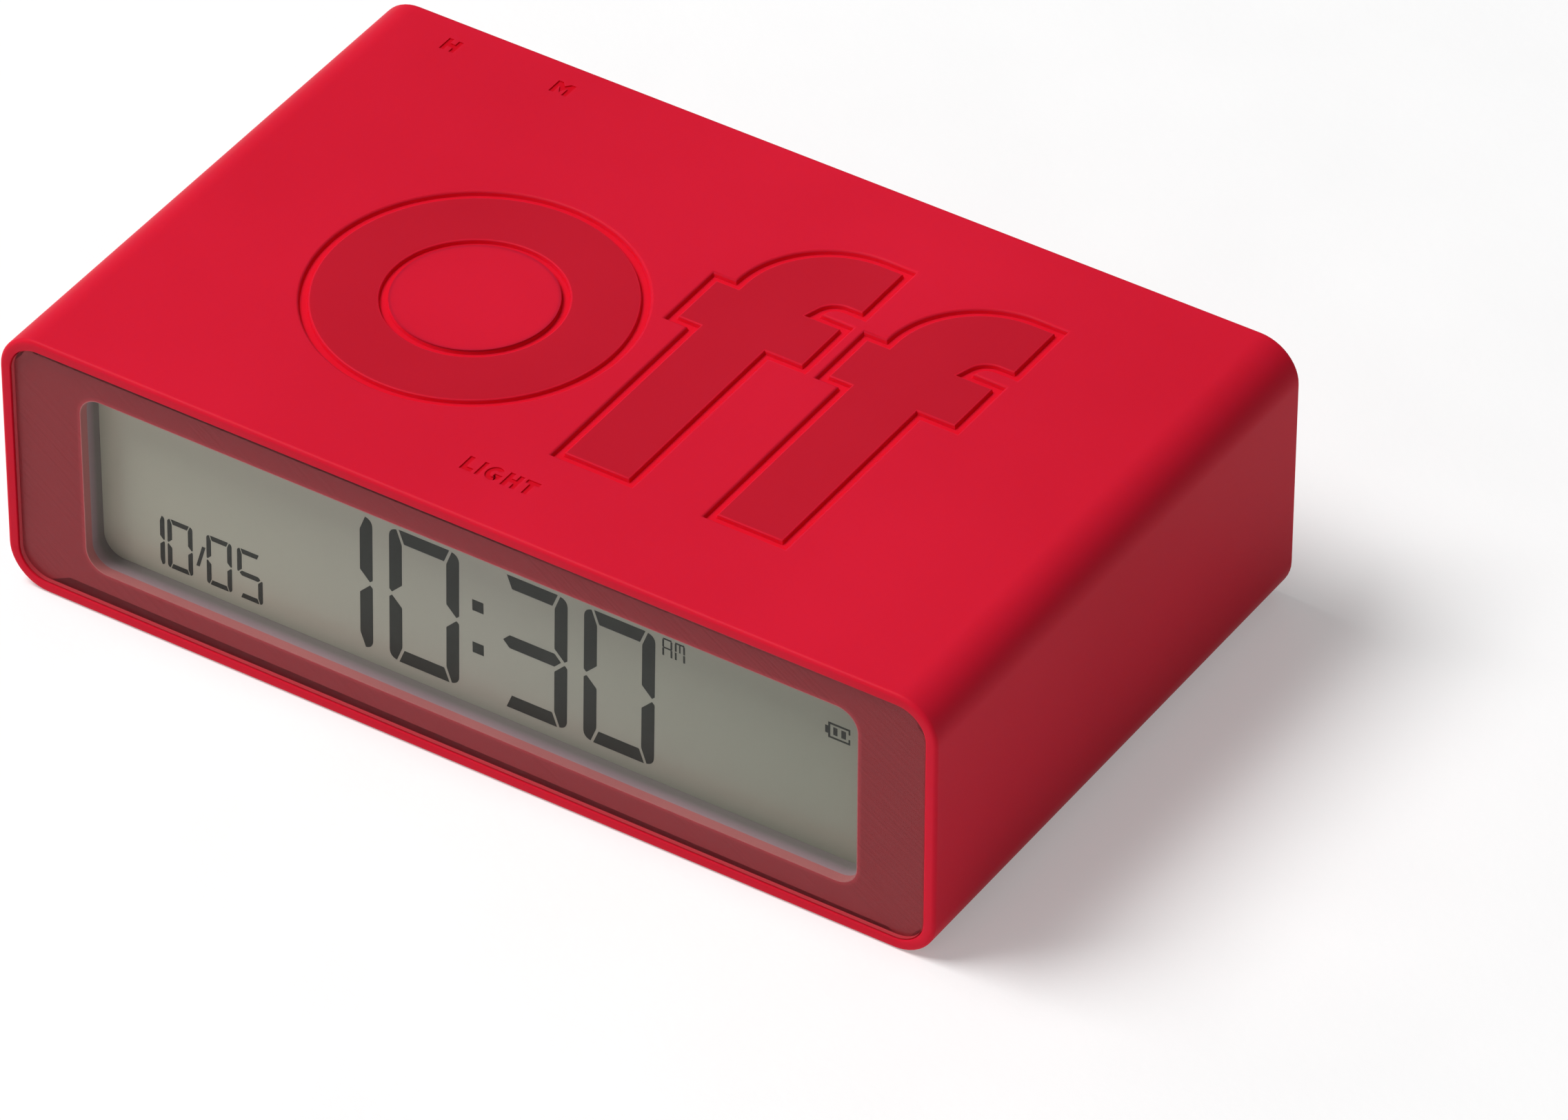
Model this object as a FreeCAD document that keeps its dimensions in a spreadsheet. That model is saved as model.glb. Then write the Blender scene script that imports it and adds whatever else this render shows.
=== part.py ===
import FreeCAD, Part
import math
import os
import Sketcher
from FreeCAD import Placement, Rotation, Vector

# Reversible alarm clock with a liquid-crystal display, in millimetres.
# X runs to the right seen from the front, Y to the back and Z up.
# The origin is at the middle of the underside, which rests on the table.

# Driving sizes, one sheet cell each
SIZES = {
    # body and soft sleeve; the body's height follows from the two cells and the walls round them
    "body_width": 104.0,
    "body_depth": 64.0,
    "corner_radius": 4.4,
    "edge_bevel": 0.4,
    "sleeve_wall": 1.2,
    "sleeve_gap": 0.1,
    "case_wall": 1.3,
    "least_round": 0.3,
    # front plate and window
    "lens_recess": 0.05,
    "lens_thickness": 0.55,
    "lens_bevel": 0.12,
    "bezel_wall": 1.0,
    "window_side_margin": 8.8,
    "window_top_margin": 4.7,
    "window_radius": 2.3,
    # display
    "holder_depth": 1.9,
    "holder_gap": 0.2,
    "holder_skirt": 0.75,
    "glass_overlap": 1.0,
    "glass_gap": 0.1,
    "glass_thickness": 1.1,
    "glass_ledge": 1.65,
    "guide_thickness": 1.6,
    "guide_end_room": 2.2,
    "guide_side_gap": 0.1,
    "zebra_gap": 0.15,
    "zebra_end_room": 4.2,
    "led_width": 1.5,
    "led_height": 3.0,
    "led_gap": 0.1,
    # main board and what it carries
    "board_thickness": 1.2,
    "board_gap": 0.5,
    "chip_diameter": 11.0,
    "chip_top_diameter": 6.4,
    "chip_height": 1.6,
    "chip_side": 9.0,
    "crystal_diameter": 2.1,
    "crystal_length": 6.2,
    "crystal_side": 14.0,
    "capacitor_diameter": 5.0,
    "capacitor_height": 5.4,
    "capacitor_base": 1.0,
    "capacitor_side": 23.0,
    "tilt_diameter": 5.2,
    "tilt_height": 9.0,
    "tilt_wall": 0.5,
    "tilt_base": 1.0,
    "tilt_side": 33.0,
    "ball_diameter": 3.4,
    "ball_gap": 0.05,
    "buzzer_diameter": 13.0,
    "buzzer_height": 5.5,
    "buzzer_wall": 0.8,
    "buzzer_hole": 3.0,
    "buzzer_side": 22.0,
    "disc_thickness": 0.4,
    "disc_ledge": 0.5,
    "disc_gap": 0.1,
    "disc_seat": 1.2,
    "part_seat": 0.1,
    # keys and their switches
    "hour_inset": 9.3,
    "button_pitch": 12.9,
    "button_diameter": 6.6,
    "button_rise": 0.6,
    "button_gap": 0.2,
    "button_flange": 0.8,
    "button_flange_lap": 0.8,
    "button_hub": 1.35,
    "hub_diameter": 3.6,
    "button_round": 0.3,
    "button_travel": 0.6,
    "plunger_diameter": 2.4,
    "plunger_reach": 1.0,
    "plunger_gap": 0.08,
    "tact_width": 6.0,
    "tact_height": 3.4,
    "flange_gap": 0.15,
    "light_width": 7.6,
    "light_depth": 3.2,
    "light_travel": 0.3,
    "light_switch_depth": 5.8,
    "light_switch_height": 4.8,
    # mode slide switch
    "slider_width": 4.4,
    "slider_height": 3.0,
    "slider_travel": 2.0,
    "slider_base_height": 5.4,
    "slider_groove": 0.5,
    "slider_groove_pitch": 1.25,
    "slider_drop": 8.2,
    "slider_stem": 2.0,
    "switch_width": 12.0,
    "switch_depth": 4.6,
    # rear cover, battery bay and door
    "cover_recess": 0.9,
    "cover_thickness": 1.4,
    "case_screw_inset": 1.9,
    "case_screw_drop": 3.5,
    "case_boss_width": 4.4,
    "case_boss_length": 17.0,
    "boss_clearance": 0.8,
    "screw_head_diameter": 3.8,
    "screw_diameter": 1.8,
    "screw_gap": 0.05,
    "screw_length": 8.0,
    "sound_slot_width": 1.2,
    "sound_slot_height": 9.0,
    "sound_slot_pitch": 2.2,
    "sound_slot_inset": 2.6,
    "tongue_length": 22.0,
    "tongue_depth": 2.0,
    "tongue_wall": 1.0,
    "cell_diameter": 10.5,
    "cell_length": 44.5,
    "cell_nub_length": 1.0,
    "cell_nub_diameter": 3.8,
    "cell_spacing": 0.6,
    "cell_side_gap": 0.4,
    "cell_back_gap": 0.5,
    "cell_floor_gap": 0.2,
    "bay_wall": 1.0,
    "bay_gap": 0.2,
    "contact_room": 2.4,
    "saddle_width": 1.2,
    "saddle_height": 2.4,
    "saddle_spread": 28.0,
    "saddle_gap": 0.1,
    "door_lap": 0.4,
    "door_gap": 0.15,
    "door_round": 1.8,
    "hook_width": 4.0,
    "hook_reach": 1.2,
    "hook_thickness": 0.8,
    "hook_gap": 0.2,
    "hook_room": 0.8,
    "hook_spread": 7.2,
    "grip_diameter": 10.0,
    "grip_depth": 0.6,
    # battery contacts
    "contact_thickness": 0.3,
    "contact_width": 8.0,
    "contact_gap": 0.05,
    "bump_diameter": 3.4,
    "bow_chord": 7.2,
    "leaf_width": 5.0,
    "tail_width": 2.0,
    "tail_lap": 1.8,
    "tail_gap": 0.2,
    # rear board
    "rear_board_height": 21.2,
    "rear_board_gap": 0.2,
    "rear_board_bay_gap": 2.3,
    "post_width": 4.2,
    "post_inset": 6.5,
    "pin_diameter": 1.6,
    "pin_gap": 0.1,
    # flat cable between the boards
    "socket_width": 3.4,
    "socket_depth": 2.5,
    "socket_height": 14.0,
    "cable_width": 12.0,
    "cable_thickness": 0.3,
    "cable_gap": 0.1,
    "cable_entry": 1.5,
    "cable_front_side": 36.0,
    "cable_back_side": 27.0,
}

# Sizes that follow from the driving ones, each named once
FITS = {
    # height: two cells over each other, then the walls and gaps outwards
    "bay_height": "2 * Sizes.cell_diameter + Sizes.cell_spacing + 2 * Sizes.cell_side_gap",
    "bay_outer_height": "Fits.bay_height + 2 * Sizes.bay_wall",
    "hollow_height": "Fits.bay_outer_height + 2 * Sizes.bay_gap",
    "case_height": "Fits.hollow_height + 2 * Sizes.case_wall",
    "bore_height": "Fits.case_height + 2 * Sizes.sleeve_gap",
    "body_height": "Fits.bore_height + 2 * Sizes.sleeve_wall",
    "middle": "Fits.body_height / 2",
    # width and corner radii, from the sleeve inwards
    "bore_width": "Sizes.body_width - 2 * Sizes.sleeve_wall",
    "bore_radius": "max(Sizes.corner_radius - Sizes.sleeve_wall; Sizes.least_round)",
    "case_width": "Fits.bore_width - 2 * Sizes.sleeve_gap",
    "case_radius": "max(Fits.bore_radius - Sizes.sleeve_gap; Sizes.least_round)",
    "hollow_width": "Fits.case_width - 2 * Sizes.case_wall",
    "hollow_radius": "max(Fits.case_radius - Sizes.case_wall; Sizes.least_round)",
    # stations along Y, from the front face to the back face
    "front_face": "-Sizes.body_depth / 2",
    "back_face": "Sizes.body_depth / 2",
    "lens_front": "Fits.front_face + Sizes.lens_recess",
    "lens_back": "Fits.lens_front + Sizes.lens_thickness",
    "bezel_back": "Fits.lens_back + Sizes.bezel_wall",
    "glass_front": "Fits.bezel_back + Sizes.holder_depth",
    "glass_step": "Fits.glass_front + Sizes.glass_thickness",
    "glass_back": "Fits.glass_step + Sizes.glass_thickness",
    "board_front": "Fits.glass_back + Sizes.guide_thickness",
    "board_back": "Fits.board_front + Sizes.board_thickness",
    "cover_back": "Fits.back_face - Sizes.cover_recess",
    "cover_front": "Fits.cover_back - Sizes.cover_thickness",
    "case_length": "Fits.cover_front - Fits.lens_back",
    "hollow_length": "Fits.cover_front - Fits.bezel_back",
    # window and display
    "window_width": "Sizes.body_width - 2 * Sizes.window_side_margin",
    "window_height": "Fits.body_height - 2 * Sizes.window_top_margin",
    "holder_width": "Fits.hollow_width - 2 * Sizes.holder_gap",
    "holder_height": "Fits.hollow_height - 2 * Sizes.holder_gap",
    "holder_length": "Fits.board_front - Fits.bezel_back",
    "pocket_width": "Fits.window_width + 2 * (Sizes.glass_overlap + Sizes.glass_gap)",
    "pocket_height": "Fits.holder_height - 2 * Sizes.holder_skirt",
    "pocket_depth": "Fits.board_front - Fits.glass_front",
    "glass_width": "Fits.pocket_width - 2 * Sizes.glass_gap",
    "glass_height": "Fits.pocket_height - 2 * Sizes.glass_gap",
    "rear_glass_height": "Fits.glass_height - 2 * Sizes.glass_ledge",
    "guide_width": "Fits.glass_width - 2 * Sizes.guide_end_room",
    "guide_height": "Fits.rear_glass_height - 2 * Sizes.guide_side_gap",
    "zebra_depth": "Fits.board_front - Fits.glass_step",
    "zebra_height": "Sizes.glass_ledge - 2 * Sizes.zebra_gap",
    "zebra_lift": "(Fits.rear_glass_height + Sizes.glass_ledge) / 2",
    "zebra_length": "Fits.glass_width - 2 * Sizes.zebra_end_room",
    "led_side": "(Fits.guide_width + Fits.glass_width) / 4",
    "led_depth": "Sizes.guide_thickness - Sizes.led_gap",
    # main board
    "board_width": "Fits.hollow_width - 2 * Sizes.board_gap",
    "board_height": "Fits.hollow_height - 2 * Sizes.board_gap",
    "tilt_centre": "Fits.board_back + Sizes.tilt_diameter / 2 + Sizes.part_seat",
    "tilt_bore": "Sizes.tilt_diameter - 2 * Sizes.tilt_wall",
    "tilt_room": "Sizes.tilt_height - Sizes.tilt_wall",
    "tilt_bottom": "Fits.middle - Sizes.tilt_height / 2",
    "ball_radius": "Sizes.ball_diameter / 2",
    "ball_flat": "Fits.ball_radius * (sqrt(2) - 1)",
    "crystal_centre": "Fits.board_back + Sizes.crystal_diameter / 2 + Sizes.part_seat",
    "capacitor_foot": "Sizes.capacitor_diameter + 2 * Sizes.part_seat",
    "disc_diameter": "Sizes.buzzer_diameter - 2 * Sizes.buzzer_wall - 2 * Sizes.disc_gap",
    # hidden light key under the sleeve
    "light_centre": "Fits.board_back + Sizes.light_switch_depth / 2",
    "light_slot_width": "Sizes.light_width + 2 * Sizes.button_gap",
    "light_slot_depth": "Sizes.light_depth + 2 * Sizes.button_gap",
    "light_flange_width": "Sizes.light_width + 2 * Sizes.button_flange_lap",
    "light_flange_depth": "Sizes.light_depth + 2 * Sizes.button_flange_lap",
    "case_top": "Fits.middle + Fits.case_height / 2",
    "light_flange_top": "Fits.middle + Fits.hollow_height / 2 - Sizes.flange_gap",
    "light_flange_bottom": "Fits.light_flange_top - Sizes.button_flange",
    "light_hub_bottom": "Fits.light_flange_bottom - Sizes.button_hub",
    "light_switch_top": "Fits.light_hub_bottom - Sizes.light_travel - Sizes.button_gap",
    # rear keys
    "hour_side": "Fits.case_width / 2 - Sizes.hour_inset",
    "minute_side": "Fits.hour_side - Sizes.button_pitch",
    "key_hole": "Sizes.button_diameter + 2 * Sizes.button_gap",
    "key_flange": "Sizes.button_diameter + 2 * Sizes.button_flange_lap",
    "press_room": "Sizes.button_travel + Sizes.button_gap",
    "flange_back": "Fits.cover_front - Sizes.flange_gap",
    "hub_back": "Fits.flange_back - Sizes.button_flange",
    "hub_front": "Fits.hub_back - Sizes.button_hub",
    "tact_back": "Fits.hub_front - Fits.press_room",
    "rear_board_back": "Fits.tact_back - Sizes.tact_height",
    "rear_board_front": "Fits.rear_board_back - Sizes.board_thickness",
    "plunger_bore": "Sizes.plunger_diameter + 2 * Sizes.plunger_gap",
    "bore_depth": "Sizes.plunger_reach + Sizes.button_travel + Sizes.button_gap",
    # mode slider
    "mode_side": "(Fits.hour_side + Fits.minute_side) / 2",
    "mode_lift": "Fits.middle - Sizes.slider_drop",
    "slot_width": "Sizes.slider_width + 2 * (Sizes.slider_travel + Sizes.button_gap)",
    "slot_height": "Sizes.slider_height + 2 * Sizes.button_gap",
    "slider_base_width": "Fits.slot_width + 2 * Sizes.slider_travel",
    "groove_height": "Sizes.slider_height + 2 * Sizes.slider_groove",
    "stem_slot_height": "Sizes.slider_stem + 2 * Sizes.button_gap",
    "stem_slot": "Sizes.slider_stem + 2 * (Sizes.slider_travel + Sizes.button_gap)",
    # battery bay, from the case screws inwards
    "case_screw_side": "Fits.hollow_width / 2 - Sizes.case_screw_inset",
    "case_screw_lift": "Fits.hollow_height / 2 - Sizes.case_screw_drop",
    "lug_width": "2 * (Fits.case_screw_side - Sizes.case_boss_width / 2 - Sizes.holder_gap)",
    "lug_height": "2 * (Fits.case_screw_lift - Sizes.case_boss_width / 2 - Sizes.holder_gap)",
    "bay_length": "Sizes.cell_length + 2 * Sizes.contact_room",
    "bay_outer_length": "Fits.bay_length + 2 * Sizes.bay_wall",
    "bay_side": "Fits.case_screw_side - Sizes.case_boss_width / 2 - Sizes.boss_clearance"
                " - Fits.bay_outer_length / 2",
    "bay_left": "Fits.bay_side - Fits.bay_length / 2",
    "bay_right": "Fits.bay_side + Fits.bay_length / 2",
    "cell_centre": "Fits.cover_front - Sizes.cell_back_gap - Sizes.cell_diameter / 2",
    "bay_floor": "Fits.cell_centre - Sizes.cell_diameter / 2 - Sizes.cell_floor_gap",
    "bay_depth": "Fits.cover_front - Fits.bay_floor",
    "cell_lift": "(Sizes.cell_diameter + Sizes.cell_spacing) / 2",
    "saddle_bore": "Sizes.cell_diameter + 2 * Sizes.saddle_gap",
    "door_length": "Fits.bay_length + 2 * Sizes.door_lap",
    "door_height": "Fits.bay_height + 2 * Sizes.door_lap",
    "opening_length": "Fits.door_length + 2 * Sizes.door_gap",
    "opening_height": "Fits.door_height + 2 * Sizes.door_gap",
    "opening_round": "Sizes.door_round + Sizes.door_gap",
    "door_right": "Fits.bay_side + Fits.door_length / 2",
    "door_left": "Fits.bay_side - Fits.door_length / 2",
    "sound_side": "Fits.bay_side - Fits.bay_outer_length / 2 - Sizes.sound_slot_inset",
    "screw_bore": "Sizes.screw_diameter + 2 * Sizes.screw_gap",
    "hook_length": "2 * Sizes.hook_reach",
    "notch_length": "Sizes.bay_wall + 2 * Sizes.hook_gap",
    "notch_width": "Sizes.hook_spread + Sizes.hook_width + 2 * Sizes.hook_gap",
    "notch_depth": "Sizes.hook_thickness + Sizes.hook_room",
    # rear board, between the case's left bosses and the bay
    "rear_board_left": "-(Fits.case_screw_side - Sizes.case_boss_width / 2"
                       " - Sizes.rear_board_gap)",
    "rear_board_right": "Fits.bay_side - Fits.bay_outer_length / 2 - Sizes.rear_board_bay_gap",
    "rear_board_width": "Fits.rear_board_right - Fits.rear_board_left",
    "rear_board_middle": "(Fits.rear_board_right + Fits.rear_board_left) / 2",
    "pin_hole": "Sizes.pin_diameter + 2 * Sizes.pin_gap",
    "pin_length": "Fits.post_length + Sizes.board_thickness + Sizes.pin_gap",
    "post_length": "Fits.cover_front - Fits.rear_board_back",
    # contacts, whose bumps and leaves reach the cells' ends
    "tail_start": "Fits.bay_left + Sizes.contact_thickness / 2",
    "tail_length": "Fits.tail_start - Fits.rear_board_right + Sizes.tail_lap",
    "tail_slot_length": "Sizes.bay_wall + 2 * Sizes.tail_gap",
    "tail_slot_width": "Sizes.tail_width + 2 * Sizes.tail_gap",
    "tail_slot_depth": "Sizes.contact_thickness + 2 * Sizes.tail_gap",
    "contact_front": "Fits.cell_centre - Sizes.contact_width / 2",
    "bow_rise": "Sizes.contact_room - Sizes.contact_thickness - Sizes.contact_gap",
    "leaf_span": "Fits.bow_rise + Sizes.contact_thickness + Sizes.contact_thickness / 2",
    "bow_radius": "(Sizes.bow_chord * Sizes.bow_chord / 4 + Fits.bow_rise * Fits.bow_rise)"
                  " / (2 * Fits.bow_rise)",
    # flat cable
    "cable_bend": "(Sizes.cable_front_side - Sizes.cable_back_side) / 2",
    "cable_middle": "(Fits.board_back + Fits.rear_board_front) / 2",
    "cable_start": "Fits.board_back + Sizes.socket_depth - Sizes.cable_entry + Sizes.cable_gap",
    "cable_end": "Fits.rear_board_front - Sizes.socket_depth + Sizes.cable_entry - Sizes.cable_gap",
}

DIRECTIONS = {
    "right": Vector(1, 0, 0), "left": Vector(-1, 0, 0),
    "back": Vector(0, 1, 0), "front": Vector(0, -1, 0),
    "up": Vector(0, 0, 1), "down": Vector(0, 0, -1),
}
# A pad from an origin plane goes this way unless it is reversed, and a pocket the other way
PAD_WAY = {"XZ_Plane": "front", "XY_Plane": "up", "YZ_Plane": "right"}
# Places of the two posts that carry the rear board: side, and 1 above or -1 below the middle
POSTS = (
    ("-Fits.mode_side", 1),
    ("Fits.rear_board_right - Sizes.post_inset", -1),
)
CORNERS = ((1, 1), (-1, 1), (-1, -1), (1, -1))
TOUCH = 0.01

doc = FreeCAD.newDocument("ReversibleAlarmClock")
sheet = doc.addObject("Spreadsheet::Sheet", "Sizes")
for row, (alias, size) in enumerate(SIZES.items(), start=1):
    sheet.set(f"A{row}", str(size))
    sheet.setAlias(f"A{row}", alias)
doc.recompute()
fits = doc.addObject("App::VarSet", "Fits")
for fit in FITS:
    fits.addProperty("App::PropertyFloat", fit, "Fits")
for fit, formula in FITS.items():
    fits.setExpression(fit, formula)
doc.recompute()


def size_of(name):
    """Value of a named size, given as it is written in an expression."""
    table, size = name.split(".")
    return float(getattr(doc.getObject(table), size))


def new_body(name):
    body = doc.addObject("PartDesign::Body", name)
    body.Label = name
    return body


def sketch_on(body, name, role, x="0", y="0", z="0"):
    """A sketch on one of the body's origin planes, with its own origin at (x, y, z)."""
    sketch = body.newObject("Sketcher::SketchObject", name)
    plane = next(item for item in body.Origin.OriginFeatures if item.Role == role)
    sketch.AttachmentSupport = [(plane, "")]
    sketch.MapMode = "FlatFace"
    offsets = {"XZ_Plane": (x, z, f"-({y})"), "XY_Plane": (x, y, z), "YZ_Plane": (y, z, x)}[role]
    for axis, offset in zip("xyz", offsets):
        sketch.setExpression(f"AttachmentOffset.Base.{axis}", offset)
    return sketch


def drive(sketch, constraint, name, size):
    """Add a dimension to a sketch and bind it to a named size."""
    index = sketch.addConstraint(constraint)
    sketch.renameConstraint(index, name)
    sketch.setExpression(f"Constraints.{name}", size)


def rounded_rectangle(sketch, width, height, radius):
    """Rectangle with round corners about the sketch's origin."""
    half_width, half_height = size_of(width) / 2, size_of(height) / 2
    round_size = size_of(radius)
    inner_x, inner_y = half_width - round_size, half_height - round_size
    first = sketch.GeometryCount
    sides = [
        (Vector(-inner_x, -half_height), Vector(inner_x, -half_height)),
        (Vector(half_width, -inner_y), Vector(half_width, inner_y)),
        (Vector(inner_x, half_height), Vector(-inner_x, half_height)),
        (Vector(-half_width, inner_y), Vector(-half_width, -inner_y)),
    ]
    corners = [(inner_x, -inner_y), (inner_x, inner_y), (-inner_x, inner_y), (-inner_x, -inner_y)]
    for start, end in sides:
        sketch.addGeometry(Part.LineSegment(start, end), False)
    for turn, (x, y) in enumerate(corners):
        circle = Part.Circle(Vector(x, y), Vector(0, 0, 1), round_size)
        start = math.radians(90 * turn - 90)
        sketch.addGeometry(Part.ArcOfCircle(circle, start, start + math.pi / 2), False)
    lines = list(range(first, first + 4))
    arcs = list(range(first + 4, first + 8))
    for turn in range(4):
        sketch.addConstraint(Sketcher.Constraint("Tangent", lines[turn], 2, arcs[turn], 1))
        sketch.addConstraint(Sketcher.Constraint("Tangent", arcs[turn], 2, lines[(turn + 1) % 4], 1))
    for turn in (0, 2):
        sketch.addConstraint(Sketcher.Constraint("Horizontal", lines[turn]))
        sketch.addConstraint(Sketcher.Constraint("Vertical", lines[turn + 1]))
    for turn in (1, 2, 3):
        sketch.addConstraint(Sketcher.Constraint("Equal", arcs[0], arcs[turn]))
    sketch.addConstraint(Sketcher.Constraint("Symmetric", arcs[0], 3, arcs[2], 3, -1, 1))
    drive(sketch, Sketcher.Constraint("DistanceX", lines[3], 1, lines[1], 1, 2 * half_width),
          f"width_{first}", width)
    drive(sketch, Sketcher.Constraint("DistanceY", lines[0], 1, lines[2], 1, 2 * half_height),
          f"height_{first}", height)
    drive(sketch, Sketcher.Constraint("Radius", arcs[0], round_size), f"radius_{first}", radius)


def rectangle(sketch, width, height):
    """Plain rectangle about the sketch's origin."""
    half_width, half_height = size_of(width) / 2, size_of(height) / 2
    first = sketch.GeometryCount
    corners = [Vector(-half_width, -half_height), Vector(half_width, -half_height),
               Vector(half_width, half_height), Vector(-half_width, half_height)]
    for turn in range(4):
        sketch.addGeometry(Part.LineSegment(corners[turn], corners[(turn + 1) % 4]), False)
    for turn in range(4):
        following = first + (turn + 1) % 4
        sketch.addConstraint(Sketcher.Constraint("Coincident", first + turn, 2, following, 1))
    for turn in (0, 2):
        sketch.addConstraint(Sketcher.Constraint("Horizontal", first + turn))
        sketch.addConstraint(Sketcher.Constraint("Vertical", first + turn + 1))
    sketch.addConstraint(Sketcher.Constraint("Symmetric", first, 1, first + 2, 1, -1, 1))
    drive(sketch, Sketcher.Constraint("DistanceX", first, 1, first, 2, 2 * half_width),
          f"width_{first}", width)
    drive(sketch, Sketcher.Constraint("DistanceY", first + 1, 1, first + 1, 2, 2 * half_height),
          f"height_{first}", height)


def circle(sketch, diameter):
    """Circle about the sketch's origin."""
    shape = Part.Circle(Vector(0, 0), Vector(0, 0, 1), size_of(diameter) / 2)
    index = sketch.addGeometry(shape, False)
    sketch.addConstraint(Sketcher.Constraint("Coincident", index, 3, -1, 1))
    drive(sketch, Sketcher.Constraint("Diameter", index, size_of(diameter)),
          f"diameter_{index}", diameter)


def four_circles(sketch, side, lift, diameter):
    """Circles at the corners of a rectangle about the sketch's origin."""
    x, y = size_of(side), size_of(lift)
    first = sketch.GeometryCount
    for centre in (Vector(x, y), Vector(-x, y), Vector(-x, -y), Vector(x, -y)):
        sketch.addGeometry(Part.Circle(centre, Vector(0, 0, 1), size_of(diameter) / 2), False)
    sketch.addConstraint(Sketcher.Constraint("Symmetric", first, 3, first + 1, 3, -2))
    sketch.addConstraint(Sketcher.Constraint("Symmetric", first, 3, first + 2, 3, -1, 1))
    sketch.addConstraint(Sketcher.Constraint("Symmetric", first, 3, first + 3, 3, -1))
    for index in (1, 2, 3):
        sketch.addConstraint(Sketcher.Constraint("Equal", first, first + index))
    drive(sketch, Sketcher.Constraint("DistanceX", -1, 1, first, 3, x), f"side_{first}", side)
    drive(sketch, Sketcher.Constraint("DistanceY", -1, 1, first, 3, y), f"lift_{first}", lift)
    drive(sketch, Sketcher.Constraint("Diameter", first, size_of(diameter)),
          f"diameter_{first}", diameter)


def pad(body, sketch, length, way):
    feature = body.newObject("PartDesign::Pad", sketch.Name + "_pad")
    feature.Profile = sketch
    feature.setExpression("Length", length)
    feature.Reversed = way != PAD_WAY[sketch.AttachmentSupport[0][0].Role]
    return feature


def pocket(body, sketch, length, way):
    feature = body.newObject("PartDesign::Pocket", sketch.Name + "_pocket")
    feature.Profile = sketch
    feature.setExpression("Length", length)
    feature.Reversed = way == PAD_WAY[sketch.AttachmentSupport[0][0].Role]
    return feature


def bevel(body, base, width, chosen):
    """Bevel the edges of a feature that pass a test of their bounding box."""
    doc.recompute()
    names = [f"Edge{index}" for index, edge in enumerate(base.Shape.Edges, start=1)
             if chosen(edge.BoundBox)]
    feature = body.newObject("PartDesign::Chamfer", base.Name + "_bevel")
    feature.Base = (base, names)
    feature.setExpression("Size", width)
    return feature


def turned(name, profile, way, x, y, z):
    """A round piece: (along, radius) stations turned about its axis, which then points one way."""
    body = new_body(name)
    sketch = sketch_on(body, name + "_profile", "XY_Plane")
    count = len(profile)
    spread = [Vector(2 + math.cos(2 * math.pi * step / count), 2 + math.sin(2 * math.pi * step / count))
              for step in range(count)]
    for step in range(count):
        sketch.addGeometry(Part.LineSegment(spread[step], spread[(step + 1) % count]), False)
    for step in range(count):
        following = (step + 1) % count
        sketch.addConstraint(Sketcher.Constraint("Coincident", step, 2, following, 1))
    for step, (along, radius) in enumerate(profile):
        if along == "0":
            sketch.addConstraint(Sketcher.Constraint("PointOnObject", step, 1, -2))
        else:
            drive(sketch, Sketcher.Constraint("DistanceX", -1, 1, step, 1, spread[step].x),
                  f"along_{step}", along)
        if radius == "0":
            sketch.addConstraint(Sketcher.Constraint("PointOnObject", step, 1, -1))
        else:
            drive(sketch, Sketcher.Constraint("DistanceY", -1, 1, step, 1, spread[step].y),
                  f"radius_{step}", radius)
    feature = body.newObject("PartDesign::Revolution", name + "_turn")
    feature.Profile = sketch
    feature.ReferenceAxis = (sketch, ["H_Axis"])
    feature.Angle = 360
    body.Placement = Placement(Vector(), Rotation(Vector(1, 0, 0), DIRECTIONS[way]))
    put(body, x, y, z)
    return body


def put(item, x, y, z):
    """Bind an object's place to expressions."""
    for axis, expression in zip("xyz", (x, y, z)):
        item.setExpression(f"Placement.Base.{axis}", expression)


def block(name, width, depth, height, x, y, z):
    """A box whose place is the middle of its underside's front edge."""
    box = doc.addObject("Part::Box", name)
    box.setExpression("Length", width)
    box.setExpression("Width", depth)
    box.setExpression("Height", height)
    put(box, f"{x} - ({width}) / 2", y, z)
    return box


def rod(name, radius, length, way, x, y, z, angle=360, turn=0):
    """A cylinder, or a sector of one, from (x, y, z) along one way."""
    cylinder = doc.addObject("Part::Cylinder", name)
    cylinder.Angle = angle
    cylinder.setExpression("Radius", radius)
    cylinder.setExpression("Height", length)
    facing = Rotation(Vector(0, 0, 1), DIRECTIONS[way])
    cylinder.Placement = Placement(Vector(), facing * Rotation(Vector(0, 0, 1), turn))
    put(cylinder, x, y, z)
    return cylinder


def cut(name, base, tool):
    remainder = doc.addObject("Part::Cut", name)
    remainder.Base = base
    remainder.Tool = tool
    return remainder


def joined(name, pieces):
    """One node from several pieces, which stay separate solids where they don't touch."""
    group = doc.addObject("Part::MultiFuse", name)
    group.Label = name
    group.Shapes = pieces
    group.Refine = True
    return group


def gathered(name, pieces):
    """One node that holds several like solids."""
    group = doc.addObject("Part::Compound", name)
    group.Label = name
    group.Links = pieces
    return group


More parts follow.
